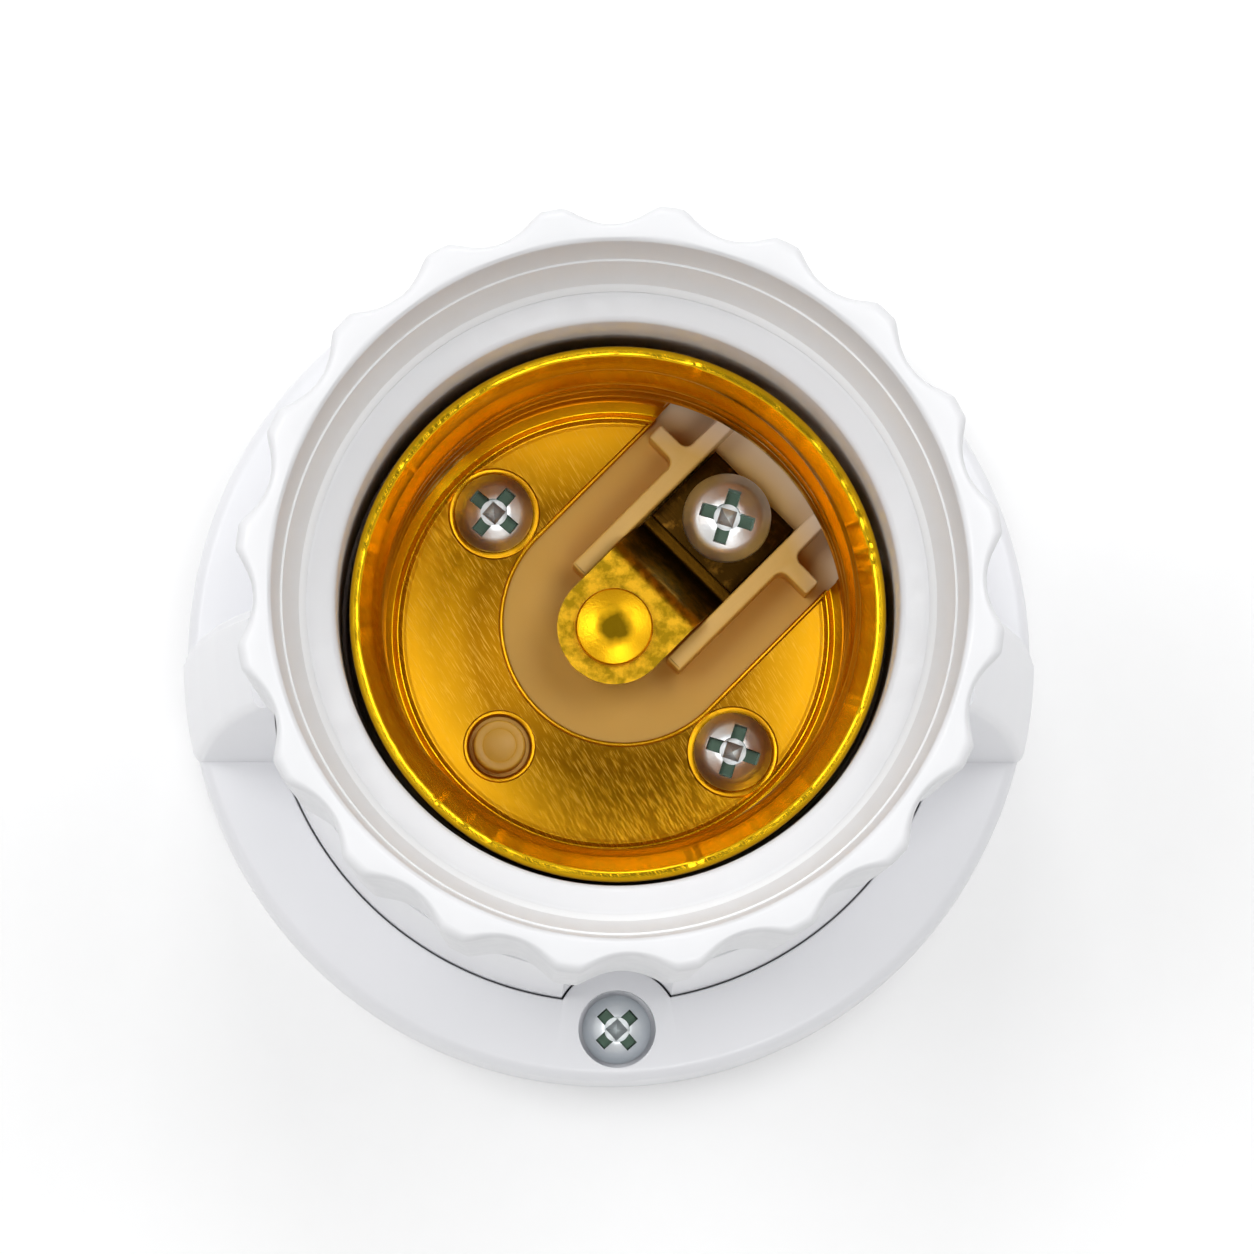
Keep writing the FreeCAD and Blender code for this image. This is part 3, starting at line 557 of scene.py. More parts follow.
# The insulator is one moulding of cream urea that stands on the body's shelf. Its two channel walls
# keep the live contact apart from the shell, and its peg stops the shell from turning.
CONTACT_TURN = 45.0
CUP_RADIUS = 15.5
CUP_BORE = 14.3
CUP_TOP = 41.0
CUP_FLOOR = 33.15
LIVE_REACH = 8.65
SHELL_SCREW_REACH = 9.13
PEG_REACH = 8.7
PEG_TOP = 34.6
WALL_START = 0.9
WALL_END = 14.7
WALL_NEAR = 3.13
WALL_FAR = 4.08
WALL_TOP = 36.9
RIB_START = 8.65
RIB_STOP = 9.6
RIB_END = 6.0
TERMINAL_HALF = 3.65
TERMINAL_TOP = 29.5
NUT_HALF = 2.65
NUT_TOP = 28.0
ROUNDING = 0.14


def prism(name, outline, low, high, round_over=0.0):
    """An upright prism over a flat outline in millimetres, its top edge rounded over."""
    form = bmesh.new()
    base = [form.verts.new((x * MM, y * MM, low * MM)) for x, y in outline]
    face = form.faces.new(base)
    top = bmesh.ops.extrude_face_region(form, geom=[face])["geom"]
    raised = [item for item in top if isinstance(item, bmesh.types.BMVert)]
    bmesh.ops.translate(form, vec=(0, 0, (high - low) * MM), verts=raised)
    if round_over:
        rim = [edge for edge in form.edges if all(end in raised for end in edge.verts)]
        bmesh.ops.bevel(form, geom=rim, offset=round_over * MM, segments=4, profile=0.5, affect="EDGES")
    return formed(name, form)


def block(name, left, right, near, far, low, high, round_over=0.0):
    """An upright block between four sides, a foot and a top."""
    return prism(name, [(left, near), (right, near), (right, far), (left, far)], low, high, round_over)


insulator = turned("insulator_moulding", rounded(
    (0, SHELF_TOP), (CUP_RADIUS, SHELF_TOP, 0.2), (CUP_RADIUS, CUP_TOP, 0.2), (CUP_BORE, CUP_TOP, 0.2),
    (CUP_BORE, CUP_FLOOR, 0.4), (0, CUP_FLOOR)))
cutters = []
for x, y, half, high in ((LIVE_REACH, 0, TERMINAL_HALF, TERMINAL_TOP),
                         (0, -SHELL_SCREW_REACH, TERMINAL_HALF, TERMINAL_TOP),
                         (0, SHELL_SCREW_REACH, NUT_HALF, NUT_TOP)):
    cutters.append(block("pocket", x - half, x + half, y - half, y + half, SHELF_TOP - 1, high))
for x, y in ((LIVE_REACH, 0), (0, SHELL_SCREW_REACH), (0, -SHELL_SCREW_REACH)):
    cutters.append(drill(x, y, SCREW_HOLE, SHELF_TOP - 1, CUP_FLOOR + 0.85, 32))
carve(insulator, *cutters)
walls = []
for side in (-1, 1):
    path = rounded((WALL_START, WALL_NEAR, 0.1), (WALL_END, WALL_NEAR), (WALL_END, WALL_FAR),
                   (RIB_STOP, WALL_FAR, 0.5), (RIB_STOP, RIB_END, 0.15), (RIB_START, RIB_END, 0.15),
                   (RIB_START, WALL_FAR, 0.5), (WALL_START, WALL_FAR, 0.1), steps=5)
    outline = [(spot.x, spot.y * side) for spot in path]
    walls.append(prism("wall", outline, CUP_FLOOR - 0.1, WALL_TOP, ROUNDING))
peg = turned("peg", rounded((0, CUP_FLOOR - 0.1), (1.45, CUP_FLOOR - 0.1), (1.38, PEG_TOP, ROUNDING),
                            (0.95, PEG_TOP), (0.9, PEG_TOP - 0.03), (0.85, PEG_TOP), (0, PEG_TOP)), 96)
join(insulator, *walls, shift(peg, -PEG_REACH, 0, 0))
shift(insulator, 0, 0, 0, CONTACT_TURN)
smooth(insulator)

# Moulded urea, cream and half matt. Near the contact and low down it is painted orange-brown,
# a painted reflection of the gold light that the brass shell throws onto it.
urea_moulded_cream, tree, mm = new_material("urea_moulded_cream")
apart = add(tree, "VectorMath", (mm, (0.0, 0.0, 33.0)), operation="DISTANCE")
beyond_painted_bounce = add(tree, "MapRange", {"Value": apart, "From Min": 11.0, "From Max": 14.2})
height = add(tree, "SeparateXYZ", [mm]).outputs[2]
raised_part = add(tree, "MapRange", {"Value": height, "From Min": 34.0, "From Max": 36.8})
# Painted reflected light: orange-brown near the contact and lowest down, plain cream further out.
painted_bounce_tone = add(tree, "Mix", {
    "Factor": raised_part, "A": linear("EAB63A"), "B": linear("EFC466")}, data_type="RGBA")
tone = add(tree, "Mix", {"Factor": beyond_painted_bounce, "A": painted_bounce_tone, "B": linear("F8EEE6")}, data_type="RGBA")
cloud = add(tree, "TexNoise", {"Vector": mm, "Scale": 0.5, "Detail": 4.0})
rough = add(tree, "MapRange", {"Value": cloud, "To Min": 0.35, "To Max": 0.5})
grain = add(tree, "TexNoise", {"Vector": mm, "Scale": 3.0, "Detail": 3.0})
bump = add(tree, "Bump", {"Strength": 0.2, "Distance": 0.03 * MM, "Height": grain})
shader = add(tree, "BsdfPrincipled", {"Base Color": tone, "Roughness": rough, "Normal": bump})
add(tree, "OutputMaterial", {"Surface": shader})
hand_over(insulator, urea_moulded_cream, "holder", "inner_plastic", "insulator")


# The screw shell is drawn from thin brass and its round thread is rolled in. The disc at its foot is
# pressed: two seats for its screws, a rolled hole over the peg, and a slot and window for the contact.
SHEET = 0.35
SHELL_FOOT = 33.5
SHELL_TOP = 52.0
PITCH = 3.629
SHELL_INNER = 12.25
SHELL_OUTER = 13.3
THREAD_MIDDLE = (SHELL_INNER + SHELL_OUTER) / 2
THREAD_FOOT = SHELL_FOOT + 0.95
THREAD_HEAD = SHELL_TOP - 1.05
RIM_FLARE = 0.33
RIM_LEAN = 0.13
RIM_LEAN_WAY = -60
THREAD_ROWS = 84
DISC_EDGE = 11.5
SLOT_HALF = 6.6
SLOT_CENTRE = 0.76
SLOT_OPEN = 11.0
WINDOW_START = 9.0
WINDOW_HEIGHT = 3.9
PEG_HOLE = 1.75
BURR_RADIUS = 0.13
BURR_END = 9.8


def shell_profile(angle):
    """The shell's section; its rim is nicked by trimming and flares more towards the lower right."""
    spot = Vector((math.cos(angle), math.sin(angle), 0))
    nick = 0.05 * max(0.0, noise.noise(spot * 9))
    nick += 0.16 * max(0.0, noise.noise(spot * 30 + Vector((0, 0, 5))) - 0.3)
    flare = RIM_FLARE + RIM_LEAN * math.cos(angle + math.radians(CONTACT_TURN - RIM_LEAN_WAY))
    outside = THREAD_MIDDLE + SHEET
    under = rounded((0, CUP_FLOOR), (11.9, CUP_FLOOR, 0.3), (outside, SHELL_FOOT + 0.45, 0.4),
                    (outside, THREAD_FOOT))
    rim = rounded((outside, THREAD_HEAD), (SHELL_OUTER + SHEET + flare, SHELL_TOP - 0.55, 0.2),
                  (SHELL_OUTER + SHEET + flare, SHELL_TOP - nick, 0.24),
                  (SHELL_OUTER - 0.15 + flare + nick, SHELL_TOP - nick, 0.24),
                  (THREAD_MIDDLE, THREAD_HEAD))[1:-1]
    over = rounded((THREAD_MIDDLE, THREAD_FOOT), (THREAD_MIDDLE, SHELL_FOOT + 0.6, 0.15),
                   (11.95, SHELL_FOOT + 0.08, 0.1), (11.66, SHELL_FOOT + 0.24, 0.12),
                   (11.4, SHELL_FOOT - 0.02, 0.08), (11.2, SHELL_FOOT, 0.05), (0, SHELL_FOOT))[1:]
    levels = list(np.linspace(THREAD_FOOT, THREAD_HEAD, THREAD_ROWS))
    wall = [(outside, z) for z in levels] + rim + [(THREAD_MIDDLE, z) for z in reversed(levels)]
    return under[:-1] + wall + over


shell = turned("screw_shell_rolled", shell_profile, count=360)

# Drawn brass. Its rolled rim is painted brighter, which is a painted highlight. Turning lines run round it
# about 0.2 mm apart, drawn coarse enough to show, and spread the highlights into fans on the disc. Hair
# scratches of about a millimetre cross them, paler than the lacquer. The disc is painted darker towards
# the contact, a painted dark reflection.
brass_drawn_bright, tree, mm = new_material("brass_drawn_bright")
axes = list(add(tree, "SeparateXYZ", [mm]).outputs)
radial = reach_out(tree, axes)
ring_marks = [add(tree, "Math", (way, 5.0), operation="MULTIPLY") for way in (radial, axes[2])]
rings_at = add(tree, "CombineXYZ", ring_marks)
rings = add(tree, "TexNoise", {"Vector": rings_at, "Scale": 1.0, "Detail": 3.0})
hair_at = add(tree, "Mapping", {
    "Vector": mm, "Rotation": (0, 0, math.radians(32)), "Scale": (0.042, 0.8, 1.0)}, vector_type="TEXTURE")
hair = add(tree, "TexNoise", {"Vector": hair_at, "Scale": 1.0, "Detail": 1.0})
hairs = add(tree, "MapRange", {"Value": hair, "From Min": 0.56, "From Max": 0.68})
ring_height = add(tree, "Math", (rings, 0.5), operation="MULTIPLY")
hair_height = add(tree, "Math", (hairs, 0.6), operation="MULTIPLY")
marks = add(tree, "Math", (ring_height, hair_height), operation="ADD")
patch = add(tree, "TexNoise", {"Vector": mm, "Scale": 0.22, "Detail": 3.0})
stain = add(tree, "MapRange", {"Value": patch, "From Min": 0.38, "From Max": 0.66})
wall_tone = add(tree, "Mix", {
    "Factor": stain, "A": linear("EAB010"), "B": linear("D69A0C")}, data_type="RGBA")
# Painted highlight: the top of the rim gets the brighter FAC81C tone.
rim_part = add(tree, "MapRange", {"Value": axes[2], "From Min": SHELL_TOP - 1.1, "From Max": SHELL_TOP - 0.7})
cup_tone = add(tree, "Mix", {"Factor": rim_part, "A": wall_tone, "B": linear("FAC81C")}, data_type="RGBA")
# Painted dark reflection: the disc darkens towards the contact, and raised pressings keep the plain tone.
near_contact = add(tree, "MapRange", {"Value": radial, "From Min": 7.6, "From Max": 10.7})
pressed_up = add(tree, "MapRange", {
    "Value": axes[2], "From Min": SHELL_FOOT + 0.01, "From Max": SHELL_FOOT + 0.05})
clear_of_painted_dark = add(tree, "Math", (near_contact, pressed_up), operation="MAXIMUM")
disc_tone = add(tree, "Mix", {
    "Factor": clear_of_painted_dark, "A": linear("96660A"), "B": linear("EEB018")}, data_type="RGBA")
hair_share = add(tree, "Math", (hairs, 0.36), operation="MULTIPLY")
scratched = add(tree, "Mix", {"Factor": hair_share, "A": disc_tone, "B": linear("F2C048")}, data_type="RGBA")
worked = add(tree, "MapRange", {"Value": radial, "From Min": DISC_EDGE - 0.2, "From Max": DISC_EDGE + 0.2})
tone = add(tree, "Mix", {"Factor": worked, "A": scratched, "B": cup_tone}, data_type="RGBA")
brushed = add(tree, "MapRange", {
    "Value": radial, "From Min": DISC_EDGE - 0.2, "From Max": DISC_EDGE + 0.2, "To Min": 0.3, "To Max": 0.2})
hair_rough = add(tree, "Math", (hairs, 0.06), operation="MULTIPLY")
rough = add(tree, "Math", (brushed, hair_rough), operation="ADD")
bump = add(tree, "Bump", {"Strength": 0.16, "Distance": 0.02 * MM, "Height": marks})
grain_way = add(tree, "Tangent", direction_type="RADIAL", axis="Z")
shader = add(tree, "BsdfPrincipled", {
    "Base Color": tone, "Metallic": 1.0, "Roughness": rough, "Normal": bump, "Anisotropic": 0.85,
    "Anisotropic Rotation": 0.25, "Tangent": grain_way})
add(tree, "OutputMaterial", {"Surface": shader})

apply_group(shell, round_thread, Pitch=PITCH * MM, Swing=(SHELL_OUTER - SHELL_INNER) / 2 * MM,
            Foot=THREAD_FOOT * MM, Head=THREAD_HEAD * MM, Least_Radius=(THREAD_MIDDLE - 0.01) * MM,
            Most_Radius=(THREAD_MIDDLE + SHEET + 0.01) * MM, Finish=brass_drawn_bright)
slot_end = [(SLOT_CENTRE + SLOT_HALF * math.cos(angle), SLOT_HALF * math.sin(angle))
            for angle in np.linspace(math.pi / 2, 3 * math.pi / 2, 65)]
slot = slot_end + [(SLOT_OPEN, -SLOT_HALF), (SLOT_OPEN, SLOT_HALF)]
openings = [
    prism("slot", slot, SHELL_FOOT - 1, SHELL_FOOT + 0.9),
    block("window", WINDOW_START, 20.0, -SLOT_HALF, SLOT_HALF, SHELL_FOOT - 1, SHELL_FOOT + WINDOW_HEIGHT)]
for x, y, radius in ((-PEG_REACH, 0, PEG_HOLE), (0, SHELL_SCREW_REACH, SCREW_HOLE),
                     (0, -SHELL_SCREW_REACH, SCREW_HOLE)):
    openings.append(drill(x, y, radius, SHELL_FOOT - 0.5, SHELL_FOOT + 0.5))
carve(shell, *openings)
trims = []
for y in (-SHELL_SCREW_REACH, SHELL_SCREW_REACH):
    seat = turned("seat", rounded(
        (2.1, SHELL_FOOT - 0.05), (2.52, SHELL_FOOT - 0.05), (2.42, SHELL_FOOT + 0.09, 0.08),
        (2.25, SHELL_FOOT + 0.05, 0.05), (2.1, SHELL_FOOT + 0.01)), 96)
    trims.append(shift(seat, 0, y, 0))
lip = turned("lip", rounded(
    (1.62, SHELL_FOOT - 0.3), (1.76, SHELL_FOOT - 0.3), (1.98, SHELL_FOOT - 0.05),
    (1.95, SHELL_FOOT + 0.1, 0.09), (1.72, SHELL_FOOT + 0.06, 0.1)), 96)
trims.append(shift(lip, -PEG_REACH, 0, 0))
edge = bpy.data.curves.new("slot_edge", "CURVE")
edge.dimensions = "3D"
edge.bevel_depth = BURR_RADIUS * MM
edge.bevel_resolution = 3
edge.use_fill_caps = True
spline = edge.splines.new("POLY")
line = [(BURR_END, SLOT_HALF)] + slot_end + [(BURR_END, -SLOT_HALF)]
spline.points.add(len(line) - 1)
for point, (x, y) in zip(spline.points, line):
    point.co = (x * MM, y * MM, (SHELL_FOOT + 0.02) * MM, 1.0)
burr = new_piece("slot_edge", edge)
bpy.context.view_layer.update()
mesh = bpy.data.meshes.new_from_object(burr.evaluated_get(bpy.context.evaluated_depsgraph_get()))
bpy.data.objects.remove(burr)
trims.append(new_piece("burr", mesh))
join(shell, *trims)
shift(shell, 0, 0, 0, CONTACT_TURN)
smooth(shell)
hand_over(shell, brass_drawn_bright, "holder", "brass", "screw_shell")


# The centre contact is a strip of springy brass. Its free end is rounded off under the button, and
# its tail is bent down and held under the clamp plate. It flattens as the lamp presses it.
STRIP_HALF = 3.05
STRIP_SHEET = 0.5
STRIP_LOW = 37.8
STRIP_END = 10.7
STRIP_ACROSS = 16
STRIP_STEP = 0.2
BEND_START = 3.2
BEND_END = 5.1

level = STRIP_LOW + STRIP_SHEET / 2
foot = CUP_FLOOR + STRIP_SHEET / 2
line = rounded((-STRIP_HALF, level), (BEND_START, level, 0.8), (BEND_END, foot, 0.6), (STRIP_END, foot),
               steps=8)
path = [line[0]]
for spot in line[1:]:
    count = max(1, math.ceil((spot - path[-1]).length / STRIP_STEP))
    start = path[-1]
    path += [start.lerp(spot, at / count) for at in range(1, count + 1)]
form = bmesh.new()
sheets = []
for side in (STRIP_SHEET / 2, -STRIP_SHEET / 2):
    rows = []
    for at, spot in enumerate(path):
        ahead = (path[min(at + 1, len(path) - 1)] - path[max(at - 1, 0)]).normalized()
        half = math.sqrt(max(STRIP_HALF**2 - min(spot.x, 0.0) ** 2, 0.04))
        place = spot + Vector((-ahead.y, ahead.x)) * side
        rows.append([form.verts.new((place.x * MM, half * across * MM, place.y * MM))
                     for across in np.linspace(-1, 1, STRIP_ACROSS + 1)])
    sheets.append(rows)
for rows in sheets:
    for low, high in zip(rows, rows[1:]):
        for at in range(STRIP_ACROSS):
            form.faces.new((low[at], low[at + 1], high[at + 1], high[at]))
upper, under = sheets
for at in range(len(path) - 1):
    for end in (0, STRIP_ACROSS):
        form.faces.new((upper[at][end], upper[at + 1][end], under[at + 1][end], under[at][end]))
for row in (0, -1):
    for at in range(STRIP_ACROSS):
        form.faces.new((upper[row][at], upper[row][at + 1], under[row][at + 1], under[row][at]))
strip = shift(formed("centre_contact_strip", form), 0, 0, 0, CONTACT_TURN)
smooth(strip)

# Rolled brass strip, dulled by handling, with a fine sparkle where its skin is worn, and its foot painted
# dark brown as painted shade.
brass_strip_dull, tree, mm = new_material("brass_strip_dull")
speck = add(tree, "TexNoise", {"Vector": mm, "Scale": 6.0, "Detail": 3.0, "Roughness": 0.7})
patch = add(tree, "TexNoise", {"Vector": mm, "Scale": 1.3, "Detail": 4.0, "Roughness": 0.6})
patches = add(tree, "MapRange", {"Value": patch, "From Min": 0.4, "From Max": 0.6})
wear_and_painted_shade = add(tree, "Mix", {
    "Factor": patches, "A": linear("8A6C0E"), "B": linear("C8981E")}, data_type="RGBA")
height = add(tree, "SeparateXYZ", [mm]).outputs[2]
# Painted shade: the strip's foot, low down by the clamp plate, is painted dark brown.
above_painted_foot_shade = add(tree, "MapRange", {"Value": height, "From Min": 33.6, "From Max": 36.4})
tone = add(tree, "Mix", {"Factor": above_painted_foot_shade, "A": linear("4E3208"), "B": wear_and_painted_shade}, data_type="RGBA")
rough = add(tree, "MapRange", {"Value": speck, "To Min": 0.25, "To Max": 0.5})
bump = add(tree, "Bump", {"Strength": 0.5, "Distance": 0.04 * MM, "Height": speck})
shader = add(tree, "BsdfPrincipled", {
    "Base Color": tone, "Metallic": 1.0, "Roughness": rough, "Normal": bump})
add(tree, "OutputMaterial", {"Surface": shader})
hand_over(strip, brass_strip_dull, "holder", "contact_brass", "centre_contact")
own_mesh(strip)


# The button is a small brass rivet with a domed head. Its shank goes through the strip's free end
# and is closed over on the underside, so that the lamp's cap presses on brass of its own.
BUTTON_RADIUS = 2.1
BUTTON_TOP = 39.4
SHANK_RADIUS = 0.85
STRIP_TOP = STRIP_LOW + STRIP_SHEET

button = turned("contact_button_dome", rounded(
    (0, STRIP_LOW - 0.4), (1.2, STRIP_LOW - 0.4, 0.1), (1.2, STRIP_LOW), (SHANK_RADIUS, STRIP_LOW),
    (SHANK_RADIUS, STRIP_TOP), (BUTTON_RADIUS, STRIP_TOP, 0.05),
    (BUTTON_RADIUS - 0.04, BUTTON_TOP - 0.2, 0.12), (1.0, BUTTON_TOP + 0.02, 2.0),
    (0.4, BUTTON_TOP + 0.04, 0.6), (0, BUTTON_TOP)), 128)
smooth(button)

# Pressed brass, bright where it was headed. The lamps' caps have worn and sooted a spot of 2 mm at
# its top.
brass_button_worn, tree, mm = new_material("brass_button_worn")
flat = add(tree, "VectorMath", (mm, (1.0, 1.0, 0.0)), operation="MULTIPLY")
reach = add(tree, "VectorMath", [flat], operation="LENGTH")
blur = add(tree, "TexNoise", {"Vector": mm, "Scale": 1.4, "Detail": 4.0})
blurred = add(tree, "Math", (blur, 0.7), operation="MULTIPLY")
uneven = add(tree, "Math", (reach, blurred), operation="ADD")
soot = add(tree, "MapRange", {"Value": uneven, "From Min": 0.95, "From Max": 1.6})
tone = add(tree, "Mix", {"Factor": soot, "A": linear("6A5206"), "B": linear("E6AE16")}, data_type="RGBA")
fine = add(tree, "TexNoise", {"Vector": mm, "Scale": 7.0, "Detail": 3.0})
rough = add(tree, "MapRange", {"Value": soot, "To Min": 0.45, "To Max": 0.32})
bump = add(tree, "Bump", {"Strength": 0.4, "Distance": 0.03 * MM, "Height": fine})
shader = add(tree, "BsdfPrincipled", {
    "Base Color": tone, "Metallic": 1.0, "Roughness": rough, "Normal": bump})
add(tree, "OutputMaterial", {"Surface": shader})
hand_over(button, brass_button_worn, "button", "brass", "contact_button")


# The clamp plate is a square of thick brass, sawn from bar. Its screw draws it down on the strip's
# tail, which it presses onto the live terminal.
PLATE_LOW = 33.65
PLATE_TOP = 34.85
PLATE_HALF = 3.0
PLATE_START = 5.9
PLATE_END = 10.8

plate = block("clamp_plate_cut", PLATE_START, PLATE_END, -PLATE_HALF, PLATE_HALF, PLATE_LOW, PLATE_TOP, 0.08)
shift(plate, 0, 0, 0, CONTACT_TURN)
smooth(plate)

# Sawn brass, browned by the heat of the contact, with its own fine scratches and paler scuffs.
brass_sawn_browned, tree, mm = new_material("brass_sawn_browned")
saw_at = add(tree, "Mapping", {
    "Vector": mm, "Rotation": (0, 0, math.radians(CONTACT_TURN)), "Scale": (0.12, 1.6, 1.0)},
    vector_type="TEXTURE")
saw = add(tree, "TexNoise", {"Vector": saw_at, "Scale": 1.0, "Detail": 3.0})
scuff = add(tree, "TexNoise", {"Vector": mm, "Scale": 1.1, "Detail": 5.0, "Roughness": 0.65})
scuffed = add(tree, "MapRange", {"Value": scuff, "From Min": 0.56, "From Max": 0.72})
tone = add(tree, "Mix", {"Factor": scuffed, "A": linear("301E05"), "B": linear("5C3E12")}, data_type="RGBA")
rough = add(tree, "MapRange", {"Value": saw, "To Min": 0.22, "To Max": 0.42})
bump = add(tree, "Bump", {"Strength": 0.4, "Distance": 0.03 * MM, "Height": saw})
shader = add(tree, "BsdfPrincipled", {
    "Base Color": tone, "Metallic": 1.0, "Roughness": rough, "Normal": bump})
add(tree, "OutputMaterial", {"Surface": shader})
hand_over(plate, brass_sawn_browned, "holder", "brass", "clamp_plate")


# The screws are zinc-plated steel with domed heads and cross recesses, each cold-headed and rolled.
# One tree sets a screw in each of its places.
HEAD_HEIGHT = 1.5
HEAD_SIDE = 0.55
SHANK_END = 0.8
SHANK_SIDE = 1.25
ARM_HALF = 0.39
ARM_FLOOR = 0.7
ARM_TAPER = 0.86
CORE_RADIUS = 0.72
CORE_FLOOR = 0.62
TIP_RADIUS = 0.68
TIP_TOP = 0.64
TIP_FLOOR = 0.3
DIAGONAL = math.sqrt(0.5)

screw_row, given = node_group("screw_row", Start="Vector", Step="Vector", Count="Int", Turn="Float",
                              Turn_Step="Float", Finish="Material")
spots = add(screw_row, "GeometryNodeMeshLine", {
    "Count": given["Count"], "Start Location": given["Start"], "Offset": given["Step"]}, mode="OFFSET")
order = add(screw_row, "GeometryNodeInputIndex")
further = add(screw_row, "Math", (order, given["Turn Step"]), operation="MULTIPLY")
angle = add(screw_row, "Math", (given["Turn"], further), operation="ADD")
facing = add(screw_row, "CombineXYZ", {2: angle})
placed = add(screw_row, "GeometryNodeInstanceOnPoints", {
    "Points": spots, "Instance": given["Geometry"], "Rotation": facing})
end_group(screw_row, placed, given["Finish"])

# Zinc plating over cold-headed steel: bright and faintly blue. Its recess is painted dark green-grey,
# both a film left there and painted shade.
steel_zinc_plated, tree, mm = new_material("steel_zinc_plated")
pool = add(tree, "TexNoise", {"Vector": mm, "Scale": 1.2, "Detail": 3.0})
plated = add(tree, "Mix", {"Factor": pool, "A": linear("E4EBEE"), "B": linear("FAFCFD")}, data_type="RGBA")
# Painted shade with a film's tint: the recess attribute darkens the cross recess.
recessed = add(tree, "Attribute", attribute_name="recess").outputs["Fac"]
tone = add(tree, "Mix", {"Factor": recessed, "A": plated, "B": linear("4C5E52")}, data_type="RGBA")
fine = add(tree, "TexNoise", {"Vector": mm, "Scale": 8.0, "Detail": 3.0})
rough = add(tree, "MapRange", {"Value": fine, "To Min": 0.32, "To Max": 0.46})
bump = add(tree, "Bump", {"Strength": 0.3, "Distance": 0.02 * MM, "Height": fine})
shader = add(tree, "BsdfPrincipled", {
    "Base Color": tone, "Metallic": 1.0, "Roughness": rough, "Normal": bump})
add(tree, "OutputMaterial", {"Surface": shader})


def cross_screw(name, head, length, reach):
    """One screw standing on the underside of its head; its cross recess opens out of a round core."""
    screw = turned(name, rounded(
        (0, -length), (SHANK_END, -length), (SHANK_SIDE, 0.45 - length), (SHANK_SIDE, 0.0), (head, 0.0, 0.1),
        (head, HEAD_SIDE, 0.25), (head * 0.78, 1.12, 1.0), (head * 0.4, 1.44, 1.4), (0, HEAD_HEIGHT)), 96)
    above = HEAD_HEIGHT + 0.4
    cutters = []
    for turn in (0, 90):
        arm = block("arm", -reach, reach, -ARM_HALF, ARM_HALF, ARM_FLOOR, above)
        for vertex in arm.data.vertices:
            if vertex.co.z < (ARM_FLOOR + 0.3) * MM:
                vertex.co.xy *= ARM_TAPER
        cutters.append(shift(arm, 0, 0, 0, turn))
    circle = [(CORE_RADIUS * math.cos(angle), CORE_RADIUS * math.sin(angle))
              for angle in np.linspace(0, 2 * math.pi, 33)[:-1]]
    cutters.append(prism("core", circle, CORE_FLOOR, above))
    cutters.append(turned("tip", [(0, TIP_FLOOR), (TIP_RADIUS, TIP_TOP), (0, TIP_TOP)],
                          angles=[math.radians(45 + 90 * at) for at in range(4)]))
    carve(screw, *cutters)
    # Painted shade and film: recess walls get the full dark tone, its floor a fifth of it.
    film_and_painted_shade = screw.data.attributes.new("recess", "FLOAT", "FACE")
    for face in screw.data.polygons:
        out, up = face.center.xy.length / MM, face.center.z / MM
        in_recess = out < reach + 0.05 and 0.2 < up < HEAD_HEIGHT - 0.17 * out**2 - 0.05
        full_film_and_shade = out > 0.66 or abs(face.normal.z) < 0.2
        film_and_painted_shade.data[face.index].value = (1.0 if full_film_and_shade else 0.2) if in_recess else 0.0
    return screw


def screws(name, nodes, head, length, reach, start, step, turn, turn_step):
    """A row of like screws, one for each of the nodes, each turned by its own angle in degrees."""
    row = cross_screw(name, head, length, reach)
    apply_group(row, screw_row, Start=Vector(start) * MM, Step=Vector(step) * MM, Count=len(nodes),
                Turn=math.radians(turn), Turn_Step=math.radians(turn_step), Finish=steel_zinc_plated)
    smooth(row)
    hand_over(row, steel_zinc_plated, "holder", "zinc_steel", *nodes)


live_along = LIVE_REACH * DIAGONAL
shell_along = SHELL_SCREW_REACH * DIAGONAL
screws("clamp_screw_headed", ["clamp_screw"], head=2.4, length=8.8, reach=1.62,
       start=(live_along, live_along, PLATE_TOP), step=(0, 0, 0), turn=-17, turn_step=0)
screws("shell_screws_headed", ["shell_screw_left", "shell_screw_right"], head=2.1, length=7.6, reach=1.58,
       start=(-shell_along, shell_along, SHELL_FOOT), step=(2 * shell_along, -2 * shell_along, 0),
       turn=50, turn_step=22)
screws("cover_screws_headed", ["cover_screw_front", "cover_screw_rear"], head=1.95, length=6.0, reach=1.42,
       start=(SCREW_ASIDE, -SCREW_REACH, HEAD_SEAT), step=(-2 * SCREW_ASIDE, 2 * SCREW_REACH, 0),
       turn=42, turn_step=30)


# The terminals under the insulator are sawn from brass bar, and the nut is pressed from zinc steel,
# as the wire screws are. They keep their CAD meshes, because no side shows them.
for node in ("live_terminal", "neutral_terminal"):
    dress(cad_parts[node], brass_strip_dull)
for node in ("shell_nut", "live_wire_screw", "neutral_wire_screw"):
    dress(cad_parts[node], steel_zinc_plated)


# A pale floor of matt paper under the object. It reads a little brighter to the camera and in
# reflections than the lamps make it, so that it meets the white background.
FLOOR_HALF = 3.0

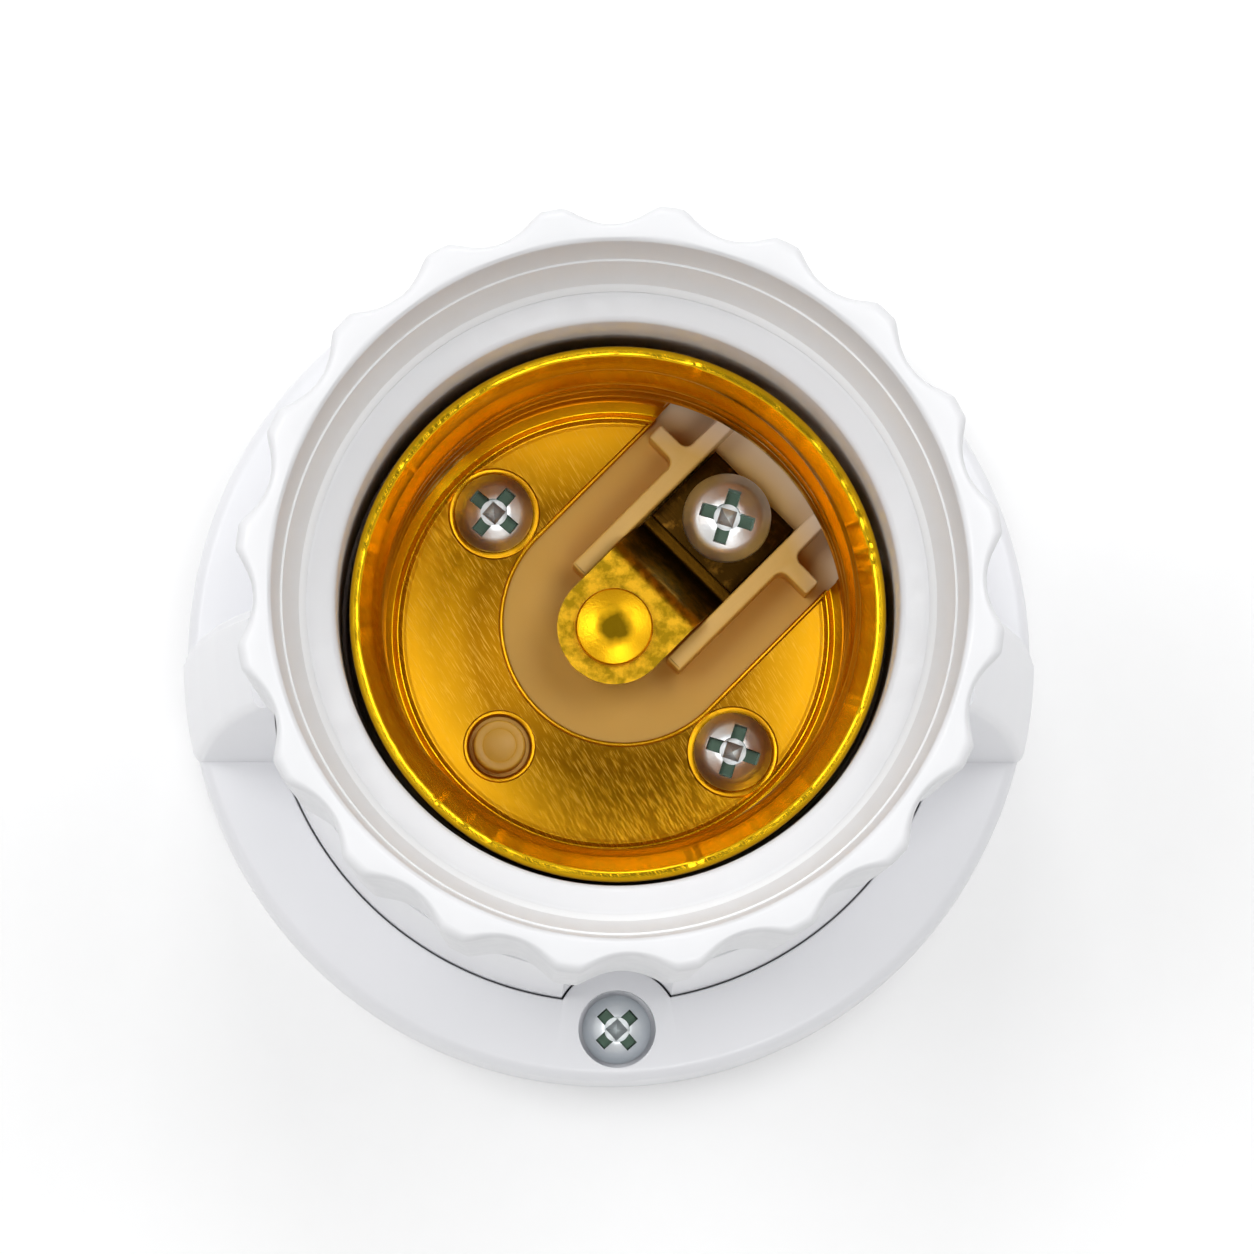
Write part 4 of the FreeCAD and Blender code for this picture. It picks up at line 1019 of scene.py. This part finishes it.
floor_mesh = bpy.data.meshes.new("floor")
corners = [(-FLOOR_HALF, -FLOOR_HALF, 0), (FLOOR_HALF, -FLOOR_HALF, 0), (FLOOR_HALF, FLOOR_HALF, 0),
           (-FLOOR_HALF, FLOOR_HALF, 0)]
floor_mesh.from_pydata(corners, [], [(0, 1, 2, 3)])
floor = new_piece("floor", floor_mesh)
paper_matt, tree, mm = new_material("paper_matt")
fibre = add(tree, "TexNoise", {"Vector": mm, "Scale": 0.6, "Detail": 3.0})
tone = add(tree, "Mix", {"Factor": fibre, "A": linear("F5F5F5"), "B": linear("F8F8F8")}, data_type="RGBA")
paths = add(tree, "LightPath").outputs
mirrored = add(tree, "Math", (paths["Is Glossy Ray"], paths["Is Transmission Ray"]), operation="MAXIMUM")
seen = add(tree, "Math", (paths["Is Camera Ray"], mirrored), operation="MAXIMUM")
glow = add(tree, "Math", (seen, 0.12), operation="MULTIPLY")
shader = add(tree, "BsdfPrincipled", {
    "Base Color": tone, "Roughness": 0.9, "Emission Color": (1, 1, 1, 1), "Emission Strength": glow})
add(tree, "OutputMaterial", {"Surface": shader})
dress(floor, paper_matt)


# The studio: an even white surround that darkens straight overhead, as where the camera hangs, and
# four soft square lamps.
world = bpy.data.worlds.new("studio")
bpy.context.scene.world = world
world.use_nodes = True
sky_tree = world.node_tree
sky_tree.nodes.clear()
way = add(sky_tree, "TexCoord").outputs["Generated"]
height = add(sky_tree, "SeparateXYZ", [way]).outputs[2]
slope = add(sky_tree, "VectorMath", (way, (-0.08, 0.2, 0.0)), operation="DOT_PRODUCT")
side = add(sky_tree, "Math", (slope, 0.56), operation="ADD")
dome = add(sky_tree, "MapRange", {
    "Value": height, "From Min": 0.76, "From Max": 0.9, "To Min": side, "To Max": 0.16},
    interpolation_type="SMOOTHSTEP")
sky = add(sky_tree, "Background", {"Color": (1, 1, 1, 1), "Strength": dome})
add(sky_tree, "OutputWorld", {"Surface": sky})

LAMP_AIM = Vector((0, 0, 0.03))
for name, place, size, watts in (
        ("key", (-0.05, 0.7, 0.5), 0.3, 1.05),
        ("left", (-0.239, 0.073, 0.665), 0.25, 1.2),
        ("right", (0.21, 0.136, 0.665), 0.25, 1.02),
        ("low", (0.063, -0.235, 0.665), 0.18, 0.72)):
    lamp = bpy.data.lights.new(name, "AREA")
    lamp.size = size
    lamp.energy = watts
    box = new_piece(name, lamp)
    box.location = place
    box.rotation_euler = (LAMP_AIM - Vector(place)).to_track_quat("-Z", "Y").to_euler()


# The camera looks down into the mouth from about 450 mm in front of it and a little below its axis,
# as the circles in the photograph fit it.
CAMERA_PLACE = Vector((-0.00465, -0.0297, 0.5191))

camera = bpy.data.cameras.new("camera")
camera.lens = 258.1
camera.sensor_width = 36.0
camera.clip_start = 0.01
ahead = Vector((0.0111, 0.0617, -0.998)).normalized()
right = Vector((0.99994, 0.0, 0.0111)).normalized()
turn = Matrix((right, right.cross(ahead), -ahead)).transposed().to_4x4()
eye = new_piece("camera", camera)
eye.matrix_world = Matrix.Translation(CAMERA_PLACE) @ turn
bpy.context.scene.camera = eye
bpy.context.scene.view_settings.view_transform = "Standard"
